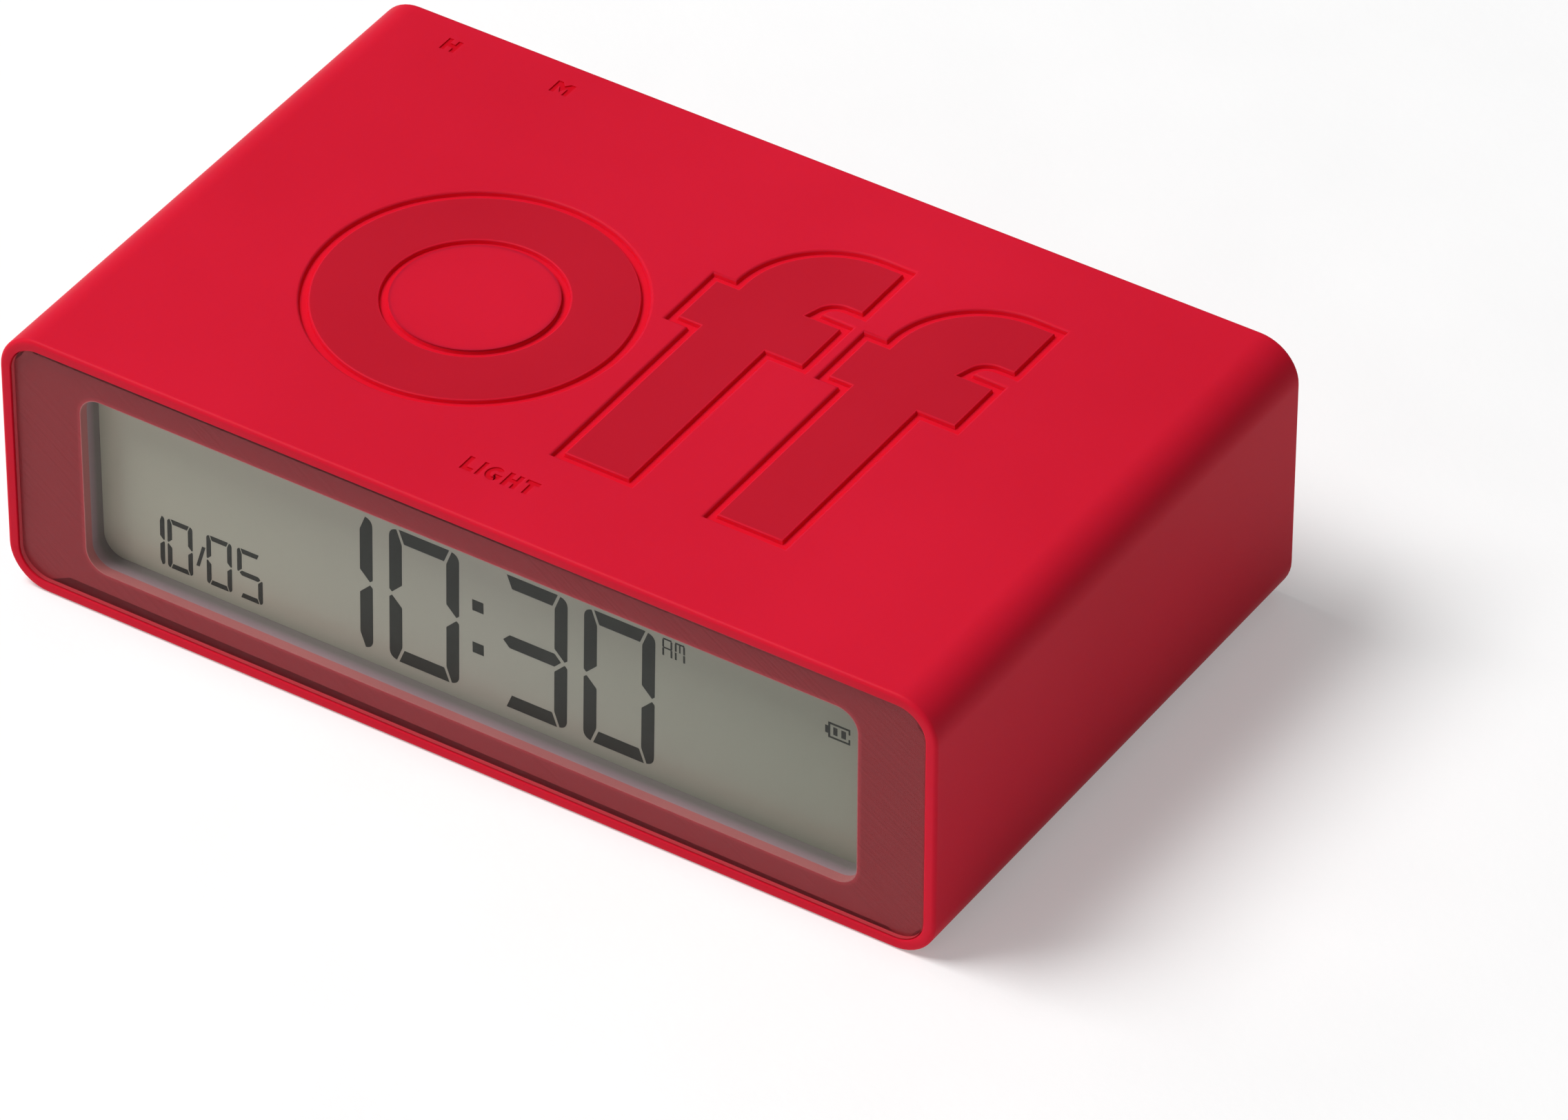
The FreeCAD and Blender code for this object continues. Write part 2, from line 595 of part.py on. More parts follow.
# Outer sleeve: one soft tube that the whole case slides into from the back
def outer_sleeve():
    body = new_body("outer_sleeve")
    ring = sketch_on(body, "sleeve_ring", "XZ_Plane", y="Fits.front_face", z="Fits.middle")
    rounded_rectangle(ring, "Sizes.body_width", "Fits.body_height", "Sizes.corner_radius")
    rounded_rectangle(ring, "Fits.bore_width", "Fits.bore_height", "Fits.bore_radius")
    tube = pad(body, ring, "Sizes.body_depth", "back")
    depth = size_of("Sizes.body_depth")
    bore_width = size_of("Fits.bore_width")
    bore_height = size_of("Fits.bore_height")
    middle = size_of("Fits.middle")

    def on_outer_rim(box):
        at_end = box.YLength < TOUCH and abs(abs(box.YMin) - depth / 2) < TOUCH
        widest = max(abs(box.XMin), abs(box.XMax))
        highest = max(abs(box.ZMin - middle), abs(box.ZMax - middle))
        return at_end and (widest > bore_width / 2 + TOUCH or highest > bore_height / 2 + TOUCH)

    bevel(body, tube, "Sizes.edge_bevel", on_outer_rim)
    return body


# Front lens: thin plate that fills the sleeve's mouth and is bonded to the case
def front_lens():
    body = new_body("front_lens")
    outline = sketch_on(body, "lens_outline", "XZ_Plane", y="Fits.lens_back", z="Fits.middle")
    rounded_rectangle(outline, "Fits.case_width", "Fits.case_height", "Fits.case_radius")
    plate = pad(body, outline, "Sizes.lens_thickness", "front")
    front = size_of("Fits.lens_front")
    bevel(body, plate, "Sizes.lens_bevel",
          lambda box: box.YLength < TOUCH and abs(box.YMin - front) < TOUCH)
    return body


# Inner case: tub with the window in its front wall, open at the back, with four screw bosses
def inner_case():
    body = new_body("inner_case")
    outline = sketch_on(body, "case_outline", "XZ_Plane", y="Fits.lens_back", z="Fits.middle")
    rounded_rectangle(outline, "Fits.case_width", "Fits.case_height", "Fits.case_radius")
    pad(body, outline, "Fits.case_length", "back")
    hollow = sketch_on(body, "case_hollow", "XZ_Plane", y="Fits.cover_front", z="Fits.middle")
    rounded_rectangle(hollow, "Fits.hollow_width", "Fits.hollow_height", "Fits.hollow_radius")
    pocket(body, hollow, "Fits.hollow_length", "front")
    window = sketch_on(body, "case_window", "XZ_Plane", y="Fits.lens_back", z="Fits.middle")
    rounded_rectangle(window, "Fits.window_width", "Fits.window_height", "Sizes.window_radius")
    pocket(body, window, "Sizes.bezel_wall", "back")
    for index, (side, sign) in enumerate(CORNERS, start=1):
        boss = sketch_on(body, f"case_boss_{index}", "XZ_Plane", x=f"{side} * Fits.case_screw_side",
                         y="Fits.cover_front", z=f"Fits.middle + {sign} * Fits.case_screw_lift")
        rectangle(boss, "Sizes.case_boss_width", "Sizes.case_boss_width")
        pad(body, boss, "Sizes.case_boss_length", "front")
    pilots = sketch_on(body, "case_pilots", "XZ_Plane", y="Fits.cover_front", z="Fits.middle")
    four_circles(pilots, "Fits.case_screw_side", "Fits.case_screw_lift", "Fits.screw_bore")
    pocket(body, pilots, "Sizes.screw_length", "front")
    slot = sketch_on(body, "light_slot", "XY_Plane", y="Fits.light_centre", z="Fits.case_top")
    rectangle(slot, "Fits.light_slot_width", "Fits.light_slot_depth")
    pocket(body, slot, "Sizes.case_wall", "down")
    return body


# Rear cover: plate, battery bay, posts for the rear board and openings for keys, door and screws
def rear_cover():
    body = new_body("rear_cover")
    outline = sketch_on(body, "cover_outline", "XZ_Plane", y="Fits.cover_front", z="Fits.middle")
    rounded_rectangle(outline, "Fits.case_width", "Fits.case_height", "Fits.case_radius")
    pad(body, outline, "Sizes.cover_thickness", "back")
    bay = sketch_on(body, "bay_outline", "XZ_Plane",
                    x="Fits.bay_side", y="Fits.cover_front", z="Fits.middle")
    rectangle(bay, "Fits.bay_outer_length", "Fits.bay_outer_height")
    pad(body, bay, "Fits.bay_depth + Sizes.bay_wall", "front")
    opening = sketch_on(body, "door_opening", "XZ_Plane",
                        x="Fits.bay_side", y="Fits.cover_back", z="Fits.middle")
    rounded_rectangle(opening, "Fits.opening_length", "Fits.opening_height", "Fits.opening_round")
    pocket(body, opening, "Sizes.cover_thickness", "front")
    hollow = sketch_on(body, "bay_hollow", "XZ_Plane",
                       x="Fits.bay_side", y="Fits.cover_front", z="Fits.middle")
    rectangle(hollow, "Fits.bay_length", "Fits.bay_height")
    pocket(body, hollow, "Fits.bay_depth", "front")
    for side, name in ((-1, "left_saddle"), (1, "right_saddle")):
        saddle = sketch_on(body, name, "XZ_Plane", y="Fits.bay_floor", z="Fits.middle",
                           x=f"Fits.bay_side + {side} * Sizes.saddle_spread / 2")
        rectangle(saddle, "Sizes.saddle_width", "Fits.bay_height")
        pad(body, saddle, "Sizes.saddle_height", "back")
    for side, name in ((-1, "lower_groove"), (1, "upper_groove")):
        groove = sketch_on(body, name, "YZ_Plane", x="Fits.bay_left", y="Fits.cell_centre",
                           z=f"Fits.middle + {side} * Fits.cell_lift")
        circle(groove, "Fits.saddle_bore")
        pocket(body, groove, "Fits.bay_length", "right")
    for index, (side, sign) in enumerate(POSTS, start=1):
        lift = f"Fits.middle + {sign} * Sizes.slider_drop"
        post = sketch_on(body, f"post_{index}", "XZ_Plane", x=side, y="Fits.cover_front", z=lift)
        rectangle(post, "Sizes.post_width", "Sizes.post_width")
        pad(body, post, "Fits.post_length", "front")
        pin = sketch_on(body, f"post_pin_{index}", "XZ_Plane", x=side, y="Fits.cover_front", z=lift)
        circle(pin, "Sizes.pin_diameter")
        pad(body, pin, "Fits.pin_length", "front")
    for sign, name in ((-1, "lower_tongue"), (1, "upper_tongue")):
        tongue = sketch_on(body, name, "XZ_Plane", x="-Fits.mode_side", y="Fits.cover_front",
                           z=f"Fits.middle + {sign} * (Fits.holder_height - Sizes.tongue_wall) / 2")
        rectangle(tongue, "Sizes.tongue_length", "Sizes.tongue_wall")
        pad(body, tongue, "Sizes.tongue_depth", "front")
    for side, name in (("Fits.hour_side", "hour_hole"), ("Fits.minute_side", "minute_hole")):
        hole = sketch_on(body, name, "XZ_Plane", x=f"-{side}", y="Fits.cover_back", z="Fits.middle")
        circle(hole, "Fits.key_hole")
        pocket(body, hole, "Sizes.cover_thickness", "front")
    slot = sketch_on(body, "mode_slot", "XZ_Plane",
                     x="-Fits.mode_side", y="Fits.cover_back", z="Fits.mode_lift")
    rectangle(slot, "Fits.slot_width", "Fits.slot_height")
    pocket(body, slot, "Sizes.cover_thickness", "front")
    for index in range(3):
        sound = sketch_on(body, f"sound_slot_{index + 1}", "XZ_Plane", y="Fits.cover_back",
                          x=f"Fits.sound_side - {index} * Sizes.sound_slot_pitch", z="Fits.middle")
        rectangle(sound, "Sizes.sound_slot_width", "Sizes.sound_slot_height")
        pocket(body, sound, "Sizes.cover_thickness", "front")
    notches = sketch_on(body, "hook_notches", "XZ_Plane", y="Fits.cover_front", z="Fits.middle",
                        x="Fits.bay_right + Sizes.bay_wall / 2")
    rectangle(notches, "Fits.notch_length", "Fits.notch_width")
    pocket(body, notches, "Fits.notch_depth", "front")
    for sign, name in ((-1, "lower_tail_slot"), (1, "upper_tail_slot")):
        tail = sketch_on(body, name, "XZ_Plane", y="Fits.rear_board_back - Sizes.tail_gap",
                         x="Fits.bay_left - Sizes.bay_wall / 2",
                         z=f"Fits.middle + {sign} * Fits.cell_lift")
        rectangle(tail, "Fits.tail_slot_length", "Fits.tail_slot_width")
        pocket(body, tail, "Fits.tail_slot_depth", "back")
    doc.recompute()
    screws = sketch_on(body, "cover_screw_places", "XZ_Plane", y="Fits.cover_back", z="Fits.middle")
    four_circles(screws, "Fits.case_screw_side", "Fits.case_screw_lift", "Fits.screw_bore")
    hole = body.newObject("PartDesign::Hole", "cover_screw_holes")
    hole.Profile = screws
    doc.recompute()
    hole.Threaded = False
    hole.DepthType = "ThroughAll"
    hole.HoleCutType = "Countersink"
    hole.HoleCutCustomValues = True
    hole.HoleCutCountersinkAngle = 90
    hole.Reversed = True
    hole.setExpression("Diameter", "Fits.screw_bore")
    hole.setExpression("HoleCutDiameter", "Sizes.screw_head_diameter + 2 * Sizes.screw_gap")
    return body


# Battery door: plate with two hooks at one end and a finger grip at the other
def battery_door():
    body = new_body("battery_door")
    outline = sketch_on(body, "door_outline", "XZ_Plane",
                        x="Fits.bay_side", y="Fits.cover_front", z="Fits.middle")
    rounded_rectangle(outline, "Fits.door_length", "Fits.door_height", "Sizes.door_round")
    pad(body, outline, "Sizes.cover_thickness", "back")
    for sign, name in ((-1, "lower"), (1, "upper")):
        lift = f"Fits.middle + {sign} * Sizes.hook_spread / 2"
        root = sketch_on(body, name + "_hook_root", "XZ_Plane", y="Fits.cover_front", z=lift,
                         x="Fits.door_right - Sizes.hook_reach / 2")
        rectangle(root, "Sizes.hook_reach", "Sizes.hook_width")
        pad(body, root, "Sizes.hook_gap + Sizes.hook_thickness", "front")
        hook = sketch_on(body, name + "_hook", "XZ_Plane", z=lift, x="Fits.door_right",
                         y="Fits.cover_front - Sizes.hook_gap")
        rectangle(hook, "Fits.hook_length", "Sizes.hook_width")
        pad(body, hook, "Sizes.hook_thickness", "front")
    grip = sketch_on(body, "door_grip", "XZ_Plane",
                     x="Fits.door_left", y="Fits.cover_back", z="Fits.middle")
    circle(grip, "Sizes.grip_diameter")
    pocket(body, grip, "Sizes.grip_depth", "front")
    return body


# Display holder: deep frame with the same opening as the window and a pocket for the glass. Its
# corners are left clear, so that it passes the case's screw bosses from the back
def lcd_holder():
    body = new_body("lcd_holder")
    outline = sketch_on(body, "holder_outline", "XZ_Plane", y="Fits.bezel_back", z="Fits.middle")
    rectangle(outline, "Fits.lug_width", "Fits.holder_height")
    pad(body, outline, "Fits.holder_length", "back")
    lugs = sketch_on(body, "holder_lugs", "XZ_Plane", y="Fits.bezel_back", z="Fits.middle")
    rectangle(lugs, "Fits.holder_width", "Fits.lug_height")
    pad(body, lugs, "Fits.holder_length", "back")
    aperture = sketch_on(body, "holder_aperture", "XZ_Plane", y="Fits.bezel_back", z="Fits.middle")
    rounded_rectangle(aperture, "Fits.window_width", "Fits.window_height", "Sizes.window_radius")
    pocket(body, aperture, "Fits.holder_length", "back")
    recess = sketch_on(body, "holder_recess", "XZ_Plane", y="Fits.board_front", z="Fits.middle")
    rectangle(recess, "Fits.pocket_width", "Fits.pocket_height")
    pocket(body, recess, "Fits.pocket_depth", "front")
    return body


# Display panel: a tall front glass bonded to a lower rear glass, which leaves two contact ledges
def lcd_panel():
    body = new_body("lcd_panel")
    front = sketch_on(body, "front_glass", "XZ_Plane", y="Fits.glass_front", z="Fits.middle")
    rectangle(front, "Fits.glass_width", "Fits.glass_height")
    pad(body, front, "Sizes.glass_thickness", "back")
    rear = sketch_on(body, "rear_glass", "XZ_Plane", y="Fits.glass_step", z="Fits.middle")
    rectangle(rear, "Fits.glass_width", "Fits.rear_glass_height")
    pad(body, rear, "Sizes.glass_thickness", "back")
    return body


# Light guide: clear plate behind the glass, lit from both ends
def light_guide():
    body = new_body("light_guide")
    plate = sketch_on(body, "guide_outline", "XZ_Plane", y="Fits.glass_back", z="Fits.middle")
    rectangle(plate, "Fits.guide_width", "Fits.guide_height")
    pad(body, plate, "Sizes.guide_thickness", "back")
    return body


# Two lamps on the board, one at each end of the light guide
def backlight_leds():
    lamps = [block(f"led_{name}", "Sizes.led_width", "Fits.led_depth", "Sizes.led_height",
                   f"{sign} * Fits.led_side", "Fits.board_front - Fits.led_depth",
                   "Fits.middle - Sizes.led_height / 2")
             for name, sign in (("left", -1), ("right", 1))]
    return gathered("backlight_leds", lamps)


# Two rubber connector strips, squeezed between the glass ledges and the board
def zebra_strips():
    strips = [block(f"zebra_{name}", "Fits.zebra_length", "Fits.zebra_depth", "Fits.zebra_height", "0",
                    "Fits.glass_step",
                    f"Fits.middle + {sign} * Fits.zebra_lift - Fits.zebra_height / 2")
              for name, sign in (("lower", -1), ("upper", 1))]
    return gathered("zebra_strips", strips)


# Main board, on the back of the display holder, with the same clear corners
def main_board():
    body = new_body("main_board")
    outline = sketch_on(body, "board_outline", "XZ_Plane", y="Fits.board_front", z="Fits.middle")
    rectangle(outline, "Fits.lug_width", "Fits.board_height")
    pad(body, outline, "Sizes.board_thickness", "back")
    lugs = sketch_on(body, "board_lugs", "XZ_Plane", y="Fits.board_front", z="Fits.middle")
    rectangle(lugs, "Fits.board_width", "Fits.lug_height")
    pad(body, lugs, "Sizes.board_thickness", "back")
    return body


# Clock chip under its drop of resin
def clock_chip():
    half = "Sizes.chip_diameter / 2"
    profile = [("0", "0"), ("0", half), ("Sizes.chip_height", "Sizes.chip_top_diameter / 2"),
               ("Sizes.chip_height", "0")]
    return turned("clock_chip", profile, "back", "-Sizes.chip_side", "Fits.board_back", "Fits.middle")


# Quartz crystal: small can lying on the board
def quartz_crystal():
    half = "Sizes.crystal_diameter / 2"
    profile = [("0", "0"), ("0", half), ("Sizes.crystal_length", half), ("Sizes.crystal_length", "0")]
    return turned("quartz_crystal", profile, "right", "Sizes.crystal_side - Sizes.crystal_length / 2",
                  "Fits.crystal_centre", "Fits.middle")


# Electrolytic capacitor: can on a square foot
def capacitor():
    body = new_body("capacitor")
    foot = sketch_on(body, "capacitor_base_outline", "XZ_Plane",
                     x="Sizes.capacitor_side", y="Fits.board_back", z="Fits.middle")
    rectangle(foot, "Fits.capacitor_foot", "Fits.capacitor_foot")
    pad(body, foot, "Sizes.capacitor_base", "back")
    can = sketch_on(body, "capacitor_can", "XZ_Plane",
                    x="Sizes.capacitor_side", y="Fits.board_back", z="Fits.middle")
    circle(can, "Sizes.capacitor_diameter")
    pad(body, can, "Sizes.capacitor_height", "back")
    return body


# Tilt switch: upright can with a steel ball that falls to whichever end is lower. The ball is
# turned with flats, because it is small and hidden
def tilt_switch():
    outer, inner = "Sizes.tilt_diameter / 2", "Fits.tilt_bore / 2"
    profile = [("0", inner), ("0", outer), ("Sizes.tilt_height", outer), ("Sizes.tilt_height", "0"),
               ("Fits.tilt_room", "0"), ("Fits.tilt_room", inner)]
    can = turned("tilt_switch_can", profile, "up", "Sizes.tilt_side", "Fits.tilt_centre",
                 "Fits.tilt_bottom")
    base = [("0", "0"), ("0", outer), ("Sizes.tilt_base", outer), ("Sizes.tilt_base", "0")]
    plug = turned("tilt_switch_base", base, "up", "Sizes.tilt_side", "Fits.tilt_centre",
                  "Fits.tilt_bottom - Sizes.tilt_base")
    flat, rim = "Fits.ball_flat", "Fits.ball_radius"
    faceted = [("0", "0"), ("0", flat), (f"{rim} - {flat}", rim), (f"{rim} + {flat}", rim),
               (f"2 * {rim}", flat), (f"2 * {rim}", "0")]
    ball = turned("tilt_ball", faceted, "up", "Sizes.tilt_side", "Fits.tilt_centre",
                  "Fits.tilt_bottom + Sizes.ball_gap")
    return [can, plug, ball]


# Sounder: cup with a hole in its back and a thin disc on a ledge inside
def buzzer():
    outer = "Sizes.buzzer_diameter / 2"
    wide = "(Sizes.buzzer_diameter / 2 - Sizes.buzzer_wall)"
    narrow = f"({wide} - Sizes.disc_ledge)"
    roof = "Sizes.buzzer_height - Sizes.buzzer_wall"
    profile = [("0", wide), ("0", outer), ("Sizes.buzzer_height", outer),
               ("Sizes.buzzer_height", "Sizes.buzzer_hole / 2"), (roof, "Sizes.buzzer_hole / 2"),
               (roof, narrow), ("Sizes.disc_seat", narrow), ("Sizes.disc_seat", wide)]
    cup = turned("buzzer_case", profile, "back", "-Sizes.buzzer_side", "Fits.board_back",
                 "Fits.middle")
    round_plate = [("0", "0"), ("0", "Fits.disc_diameter / 2"),
                   ("Sizes.disc_thickness", "Fits.disc_diameter / 2"), ("Sizes.disc_thickness", "0")]
    disc = turned("piezo_disc", round_plate, "back", "-Sizes.buzzer_side",
                  "Fits.board_back + Sizes.disc_seat - Sizes.disc_thickness - Sizes.part_seat / 2",
                  "Fits.middle")
    return [cup, disc]


# Light switch on the main board, its bore open at the top
def light_switch():
    body = new_body("light_switch")
    outline = sketch_on(body, "light_switch_outline", "XY_Plane",
                        y="Fits.light_centre", z="Fits.light_switch_top")
    rectangle(outline, "Sizes.tact_width", "Sizes.light_switch_depth")
    pad(body, outline, "Sizes.light_switch_height", "down")
    bore = sketch_on(body, "light_switch_bore", "XY_Plane",
                     y="Fits.light_centre", z="Fits.light_switch_top")
    circle(bore, "Fits.plunger_bore")
    pocket(body, bore, "Fits.bore_depth", "down")
    return body


# Light key: cap in the case's top wall, held by its flange, under the sleeve
def light_key():
    body = new_body("light_key")
    cap = sketch_on(body, "light_cap", "XY_Plane", y="Fits.light_centre", z="Fits.case_top")
    rectangle(cap, "Sizes.light_width", "Sizes.light_depth")
    pad(body, cap, "Fits.case_top - Fits.light_flange_bottom", "down")
    flange = sketch_on(body, "light_flange", "XY_Plane",
                       y="Fits.light_centre", z="Fits.light_flange_top")
    rectangle(flange, "Fits.light_flange_width", "Fits.light_flange_depth")
    pad(body, flange, "Sizes.button_flange", "down")
    hub = sketch_on(body, "light_hub", "XY_Plane", y="Fits.light_centre", z="Fits.light_flange_bottom")
    circle(hub, "Sizes.hub_diameter")
    pad(body, hub, "Sizes.button_hub", "down")
    return body


def plunger(name, reach, way, x, y, z):
    """Actuator of a key switch, carried down by its key."""
    half = "Sizes.plunger_diameter / 2"
    profile = [("0", "0"), ("0", half), (reach, half), (reach, "0")]
    return turned(name, profile, way, x, y, z)


# Hour and minute keys: domed round caps held by a flange behind the cover
def rear_keys():
    half = "Sizes.button_diameter / 2"
    hub_end = "Sizes.button_hub"
    flange_end = "(Sizes.button_hub + Sizes.button_flange)"
    cap_end = f"({flange_end} + Sizes.flange_gap + Sizes.cover_thickness + Sizes.button_rise)"
    profile = [("0", "0"), ("0", "Sizes.hub_diameter / 2"), (hub_end, "Sizes.hub_diameter / 2"),
               (hub_end, "Fits.key_flange / 2"), (flange_end, "Fits.key_flange / 2"),
               (flange_end, half), (f"{cap_end} - Sizes.button_round", half),
               (cap_end, f"{half} - Sizes.button_round"), (cap_end, "0")]
    pieces = []
    for name, side in (("hour", "Fits.hour_side"), ("minute", "Fits.minute_side")):
        pieces.append(turned(f"{name}_button", profile, "back", f"-{side}", "Fits.hub_front",
                             "Fits.middle"))
        reach = "Fits.press_room + Sizes.plunger_reach"
        pieces.append(plunger(f"{name}_plunger", reach, "front", f"-{side}", "Fits.hub_front",
                              "Fits.middle"))
    return pieces


# Key switches of the two rear keys, square bodies with a round bore
def button_switches():
    switches = []
    for name, side in (("hour", "Fits.hour_side"), ("minute", "Fits.minute_side")):
        box = block(f"{name}_switch_box", "Sizes.tact_width", "Sizes.tact_height", "Sizes.tact_width",
                    f"-{side}", "Fits.rear_board_back", "Fits.middle - Sizes.tact_width / 2")
        bore = rod(f"{name}_switch_bore", "Fits.plunger_bore / 2", "Fits.bore_depth", "front",
                   f"-{side}", "Fits.tact_back", "Fits.middle")
        switches.append(cut(f"{name}_switch", box, bore))
    return gathered("button_switches", switches)


# Mode slider: ridged nub through the cover's slot, on a base plate with a stem into its switch
def mode_slider():
    body = new_body("mode_slider")
    base = sketch_on(body, "slider_base", "XZ_Plane",
                     x="-Fits.mode_side", y="Fits.hub_back", z="Fits.mode_lift")
    rectangle(base, "Fits.slider_base_width", "Sizes.slider_base_height")
    pad(body, base, "Sizes.button_flange", "back")
    nub = sketch_on(body, "slider_nub", "XZ_Plane",
                    x="-Fits.mode_side", y="Fits.flange_back", z="Fits.mode_lift")
    rectangle(nub, "Sizes.slider_width", "Sizes.slider_height")
    pad(body, nub, "Sizes.flange_gap + Sizes.cover_thickness + Sizes.button_rise", "back")
    for step in (-1, 0, 1):
        ridge = sketch_on(body, f"slider_groove_{step + 2}", "XZ_Plane",
                          x=f"-Fits.mode_side + {step} * Sizes.slider_groove_pitch",
                          y="Fits.cover_back + Sizes.button_rise", z="Fits.mode_lift")
        rectangle(ridge, "Sizes.slider_groove", "Fits.groove_height")
        pocket(body, ridge, "Sizes.slider_groove", "front")
    stem = sketch_on(body, "slider_stem_outline", "XZ_Plane",
                     x="-Fits.mode_side", y="Fits.hub_back", z="Fits.mode_lift")
    rectangle(stem, "Sizes.slider_stem", "Sizes.slider_stem")
    pad(body, stem, "Sizes.button_hub + Fits.press_room + Sizes.plunger_reach", "front")
    return body


# Slide switch under the mode slider, with a slot for the slider's stem
def mode_switch():
    body = new_body("mode_switch")
    outline = sketch_on(body, "mode_switch_outline", "XZ_Plane",
                        x="-Fits.mode_side", y="Fits.rear_board_back", z="Fits.mode_lift")
    rectangle(outline, "Sizes.switch_width", "Sizes.switch_depth")
    pad(body, outline, "Sizes.tact_height", "back")
    slot = sketch_on(body, "mode_switch_slot", "XZ_Plane",
                     x="-Fits.mode_side", y="Fits.tact_back", z="Fits.mode_lift")
    rectangle(slot, "Fits.stem_slot", "Fits.stem_slot_height")
    pocket(body, slot, "Fits.bore_depth", "front")
    return body


# Rear board, held on the pins of the cover's posts
def button_board():
    body = new_body("button_board")
    outline = sketch_on(body, "rear_board_outline", "XZ_Plane",
                        x="Fits.rear_board_middle", y="Fits.rear_board_front", z="Fits.middle")
    rectangle(outline, "Fits.rear_board_width", "Sizes.rear_board_height")
    pad(body, outline, "Sizes.board_thickness", "back")
    for index, (side, sign) in enumerate(POSTS, start=1):
        hole = sketch_on(body, f"rear_board_hole_{index}", "XZ_Plane", x=side,
                         y="Fits.rear_board_front", z=f"Fits.middle + {sign} * Sizes.slider_drop")
        circle(hole, "Fits.pin_hole")
        pocket(body, hole, "Sizes.board_thickness", "back")
    return body


# Sockets of the flat cable, one on each board, each with a slot for the cable's end
def ffc_sockets():
    sockets = []
    ends = (("main", "Sizes.cable_front_side", "Fits.board_back",
             "Fits.board_back + Sizes.socket_depth - Sizes.cable_entry"),
            ("rear", "Sizes.cable_back_side", "Fits.rear_board_front - Sizes.socket_depth",
             "Fits.rear_board_front - Sizes.socket_depth"))
    for name, side, front, slot_front in ends:
        box = block(f"{name}_socket_box", "Sizes.socket_width", "Sizes.socket_depth",
                    "Sizes.socket_height", f"-{side}", front, "Fits.middle - Sizes.socket_height / 2")
        slot = block(f"{name}_socket_slot", "Sizes.cable_thickness + 2 * Sizes.cable_gap",
                     "Sizes.cable_entry", "Sizes.cable_width + 2 * Sizes.cable_gap", f"-{side}",
                     slot_front, "Fits.middle - Sizes.cable_width / 2 - Sizes.cable_gap")
        sockets.append(cut(f"{name}_socket", box, slot))
    return gathered("ffc_sockets", sockets)


# Flat cable: two straight runs joined by an S of two quarter bends
def ribbon_cable():
    bottom = "Fits.middle - Sizes.cable_width / 2"
    pieces = [
        block("cable_front_run", "Sizes.cable_thickness",
              "Fits.cable_middle - Fits.cable_bend - Fits.cable_start", "Sizes.cable_width",
              "-Sizes.cable_front_side", "Fits.cable_start", bottom),
        block("cable_back_run", "Sizes.cable_thickness",
              "Fits.cable_end - Fits.cable_middle - Fits.cable_bend", "Sizes.cable_width",
              "-Sizes.cable_back_side", "Fits.cable_middle + Fits.cable_bend", bottom),
    ]
    for name, sign, turn in (("first", -1, 90), ("second", 1, 270)):
        place = ("-Sizes.cable_front_side + Fits.cable_bend",
                 f"Fits.cable_middle + {sign} * Fits.cable_bend", bottom)
        outer = rod(f"{name}_bend_outside", "Fits.cable_bend + Sizes.cable_thickness / 2",
                    "Sizes.cable_width", "up", *place, angle=90, turn=turn)
        inner = rod(f"{name}_bend_inside", "Fits.cable_bend - Sizes.cable_thickness / 2",
                    "Sizes.cable_width", "up", *place, angle=90, turn=turn)
        pieces.append(cut(f"{name}_bend", outer, inner))
    return joined("ribbon_cable", pieces)


# Two cells side by side, laid opposite ways
def cells():
    half = "Sizes.cell_diameter / 2"
    shoulder = "(Sizes.cell_length - Sizes.cell_nub_length)"
    nub = "Sizes.cell_nub_diameter / 2"
    profile = [("0", "0"), ("0", half), (shoulder, half), (shoulder, nub), ("Sizes.cell_length", nub),
               ("Sizes.cell_length", "0")]
    upper = turned("upper_cell", profile, "left", "Fits.bay_right - Sizes.contact_room",
                   "Fits.cell_centre", "Fits.middle + Fits.cell_lift")
    lower = turned("lower_cell", profile, "right", "Fits.bay_left + Sizes.contact_room",
                   "Fits.cell_centre", "Fits.middle - Fits.cell_lift")
    return [upper, lower]


def contact_plate(name, x, z, height):
    return block(name, "Sizes.contact_thickness", "Sizes.contact_width", height, x,
                 "Fits.contact_front", f"{z} - ({height}) / 2")


def contact_bump(name, wall, way, z):
    """Round stud that meets a cell's nub."""
    sign = 1 if way == "right" else -1
    return rod(name, "Sizes.bump_diameter / 2",
               "Sizes.contact_room - Sizes.contact_thickness / 2 - Sizes.contact_gap", way,
               f"{wall} + {sign} * Sizes.contact_thickness / 2", "Fits.cell_centre", z)


def contact_leaf(name, wall, sign, z):
    """Bowed spring leaf that meets a cell's flat end."""
    bottom = f"{z} - Sizes.leaf_width / 2"
    face = f"{wall} + {sign} * Sizes.contact_thickness"
    centre = f"{face} + {sign} * (Fits.bow_rise - Fits.bow_radius)"
    outer = rod(name + "_outside", "Fits.bow_radius", "Sizes.leaf_width", "up",
                centre, "Fits.cell_centre", bottom)
    inner = rod(name + "_inside", "Fits.bow_radius - Sizes.contact_thickness", "Sizes.leaf_width",
                "up", centre, "Fits.cell_centre", bottom)
    span = block(name + "_span", "Fits.leaf_span",
                 "Sizes.contact_width", "Sizes.leaf_width",
                 f"{face} + {sign} * (Fits.bow_rise + Sizes.contact_thickness / 2) / 2",
                 "Fits.contact_front", bottom)
    leaf = doc.addObject("Part::Common", name)
    leaf.Base = cut(name + "_ring", outer, inner)
    leaf.Tool = span
    return leaf


def contact_tail(name, z):
    """Strip through the bay's wall onto the rear board."""
    return block(name, "Fits.tail_length", "Sizes.contact_thickness", "Sizes.tail_width",
                 "Fits.tail_start - Fits.tail_length / 2", "Fits.rear_board_back",
                 f"{z} - Sizes.tail_width / 2")


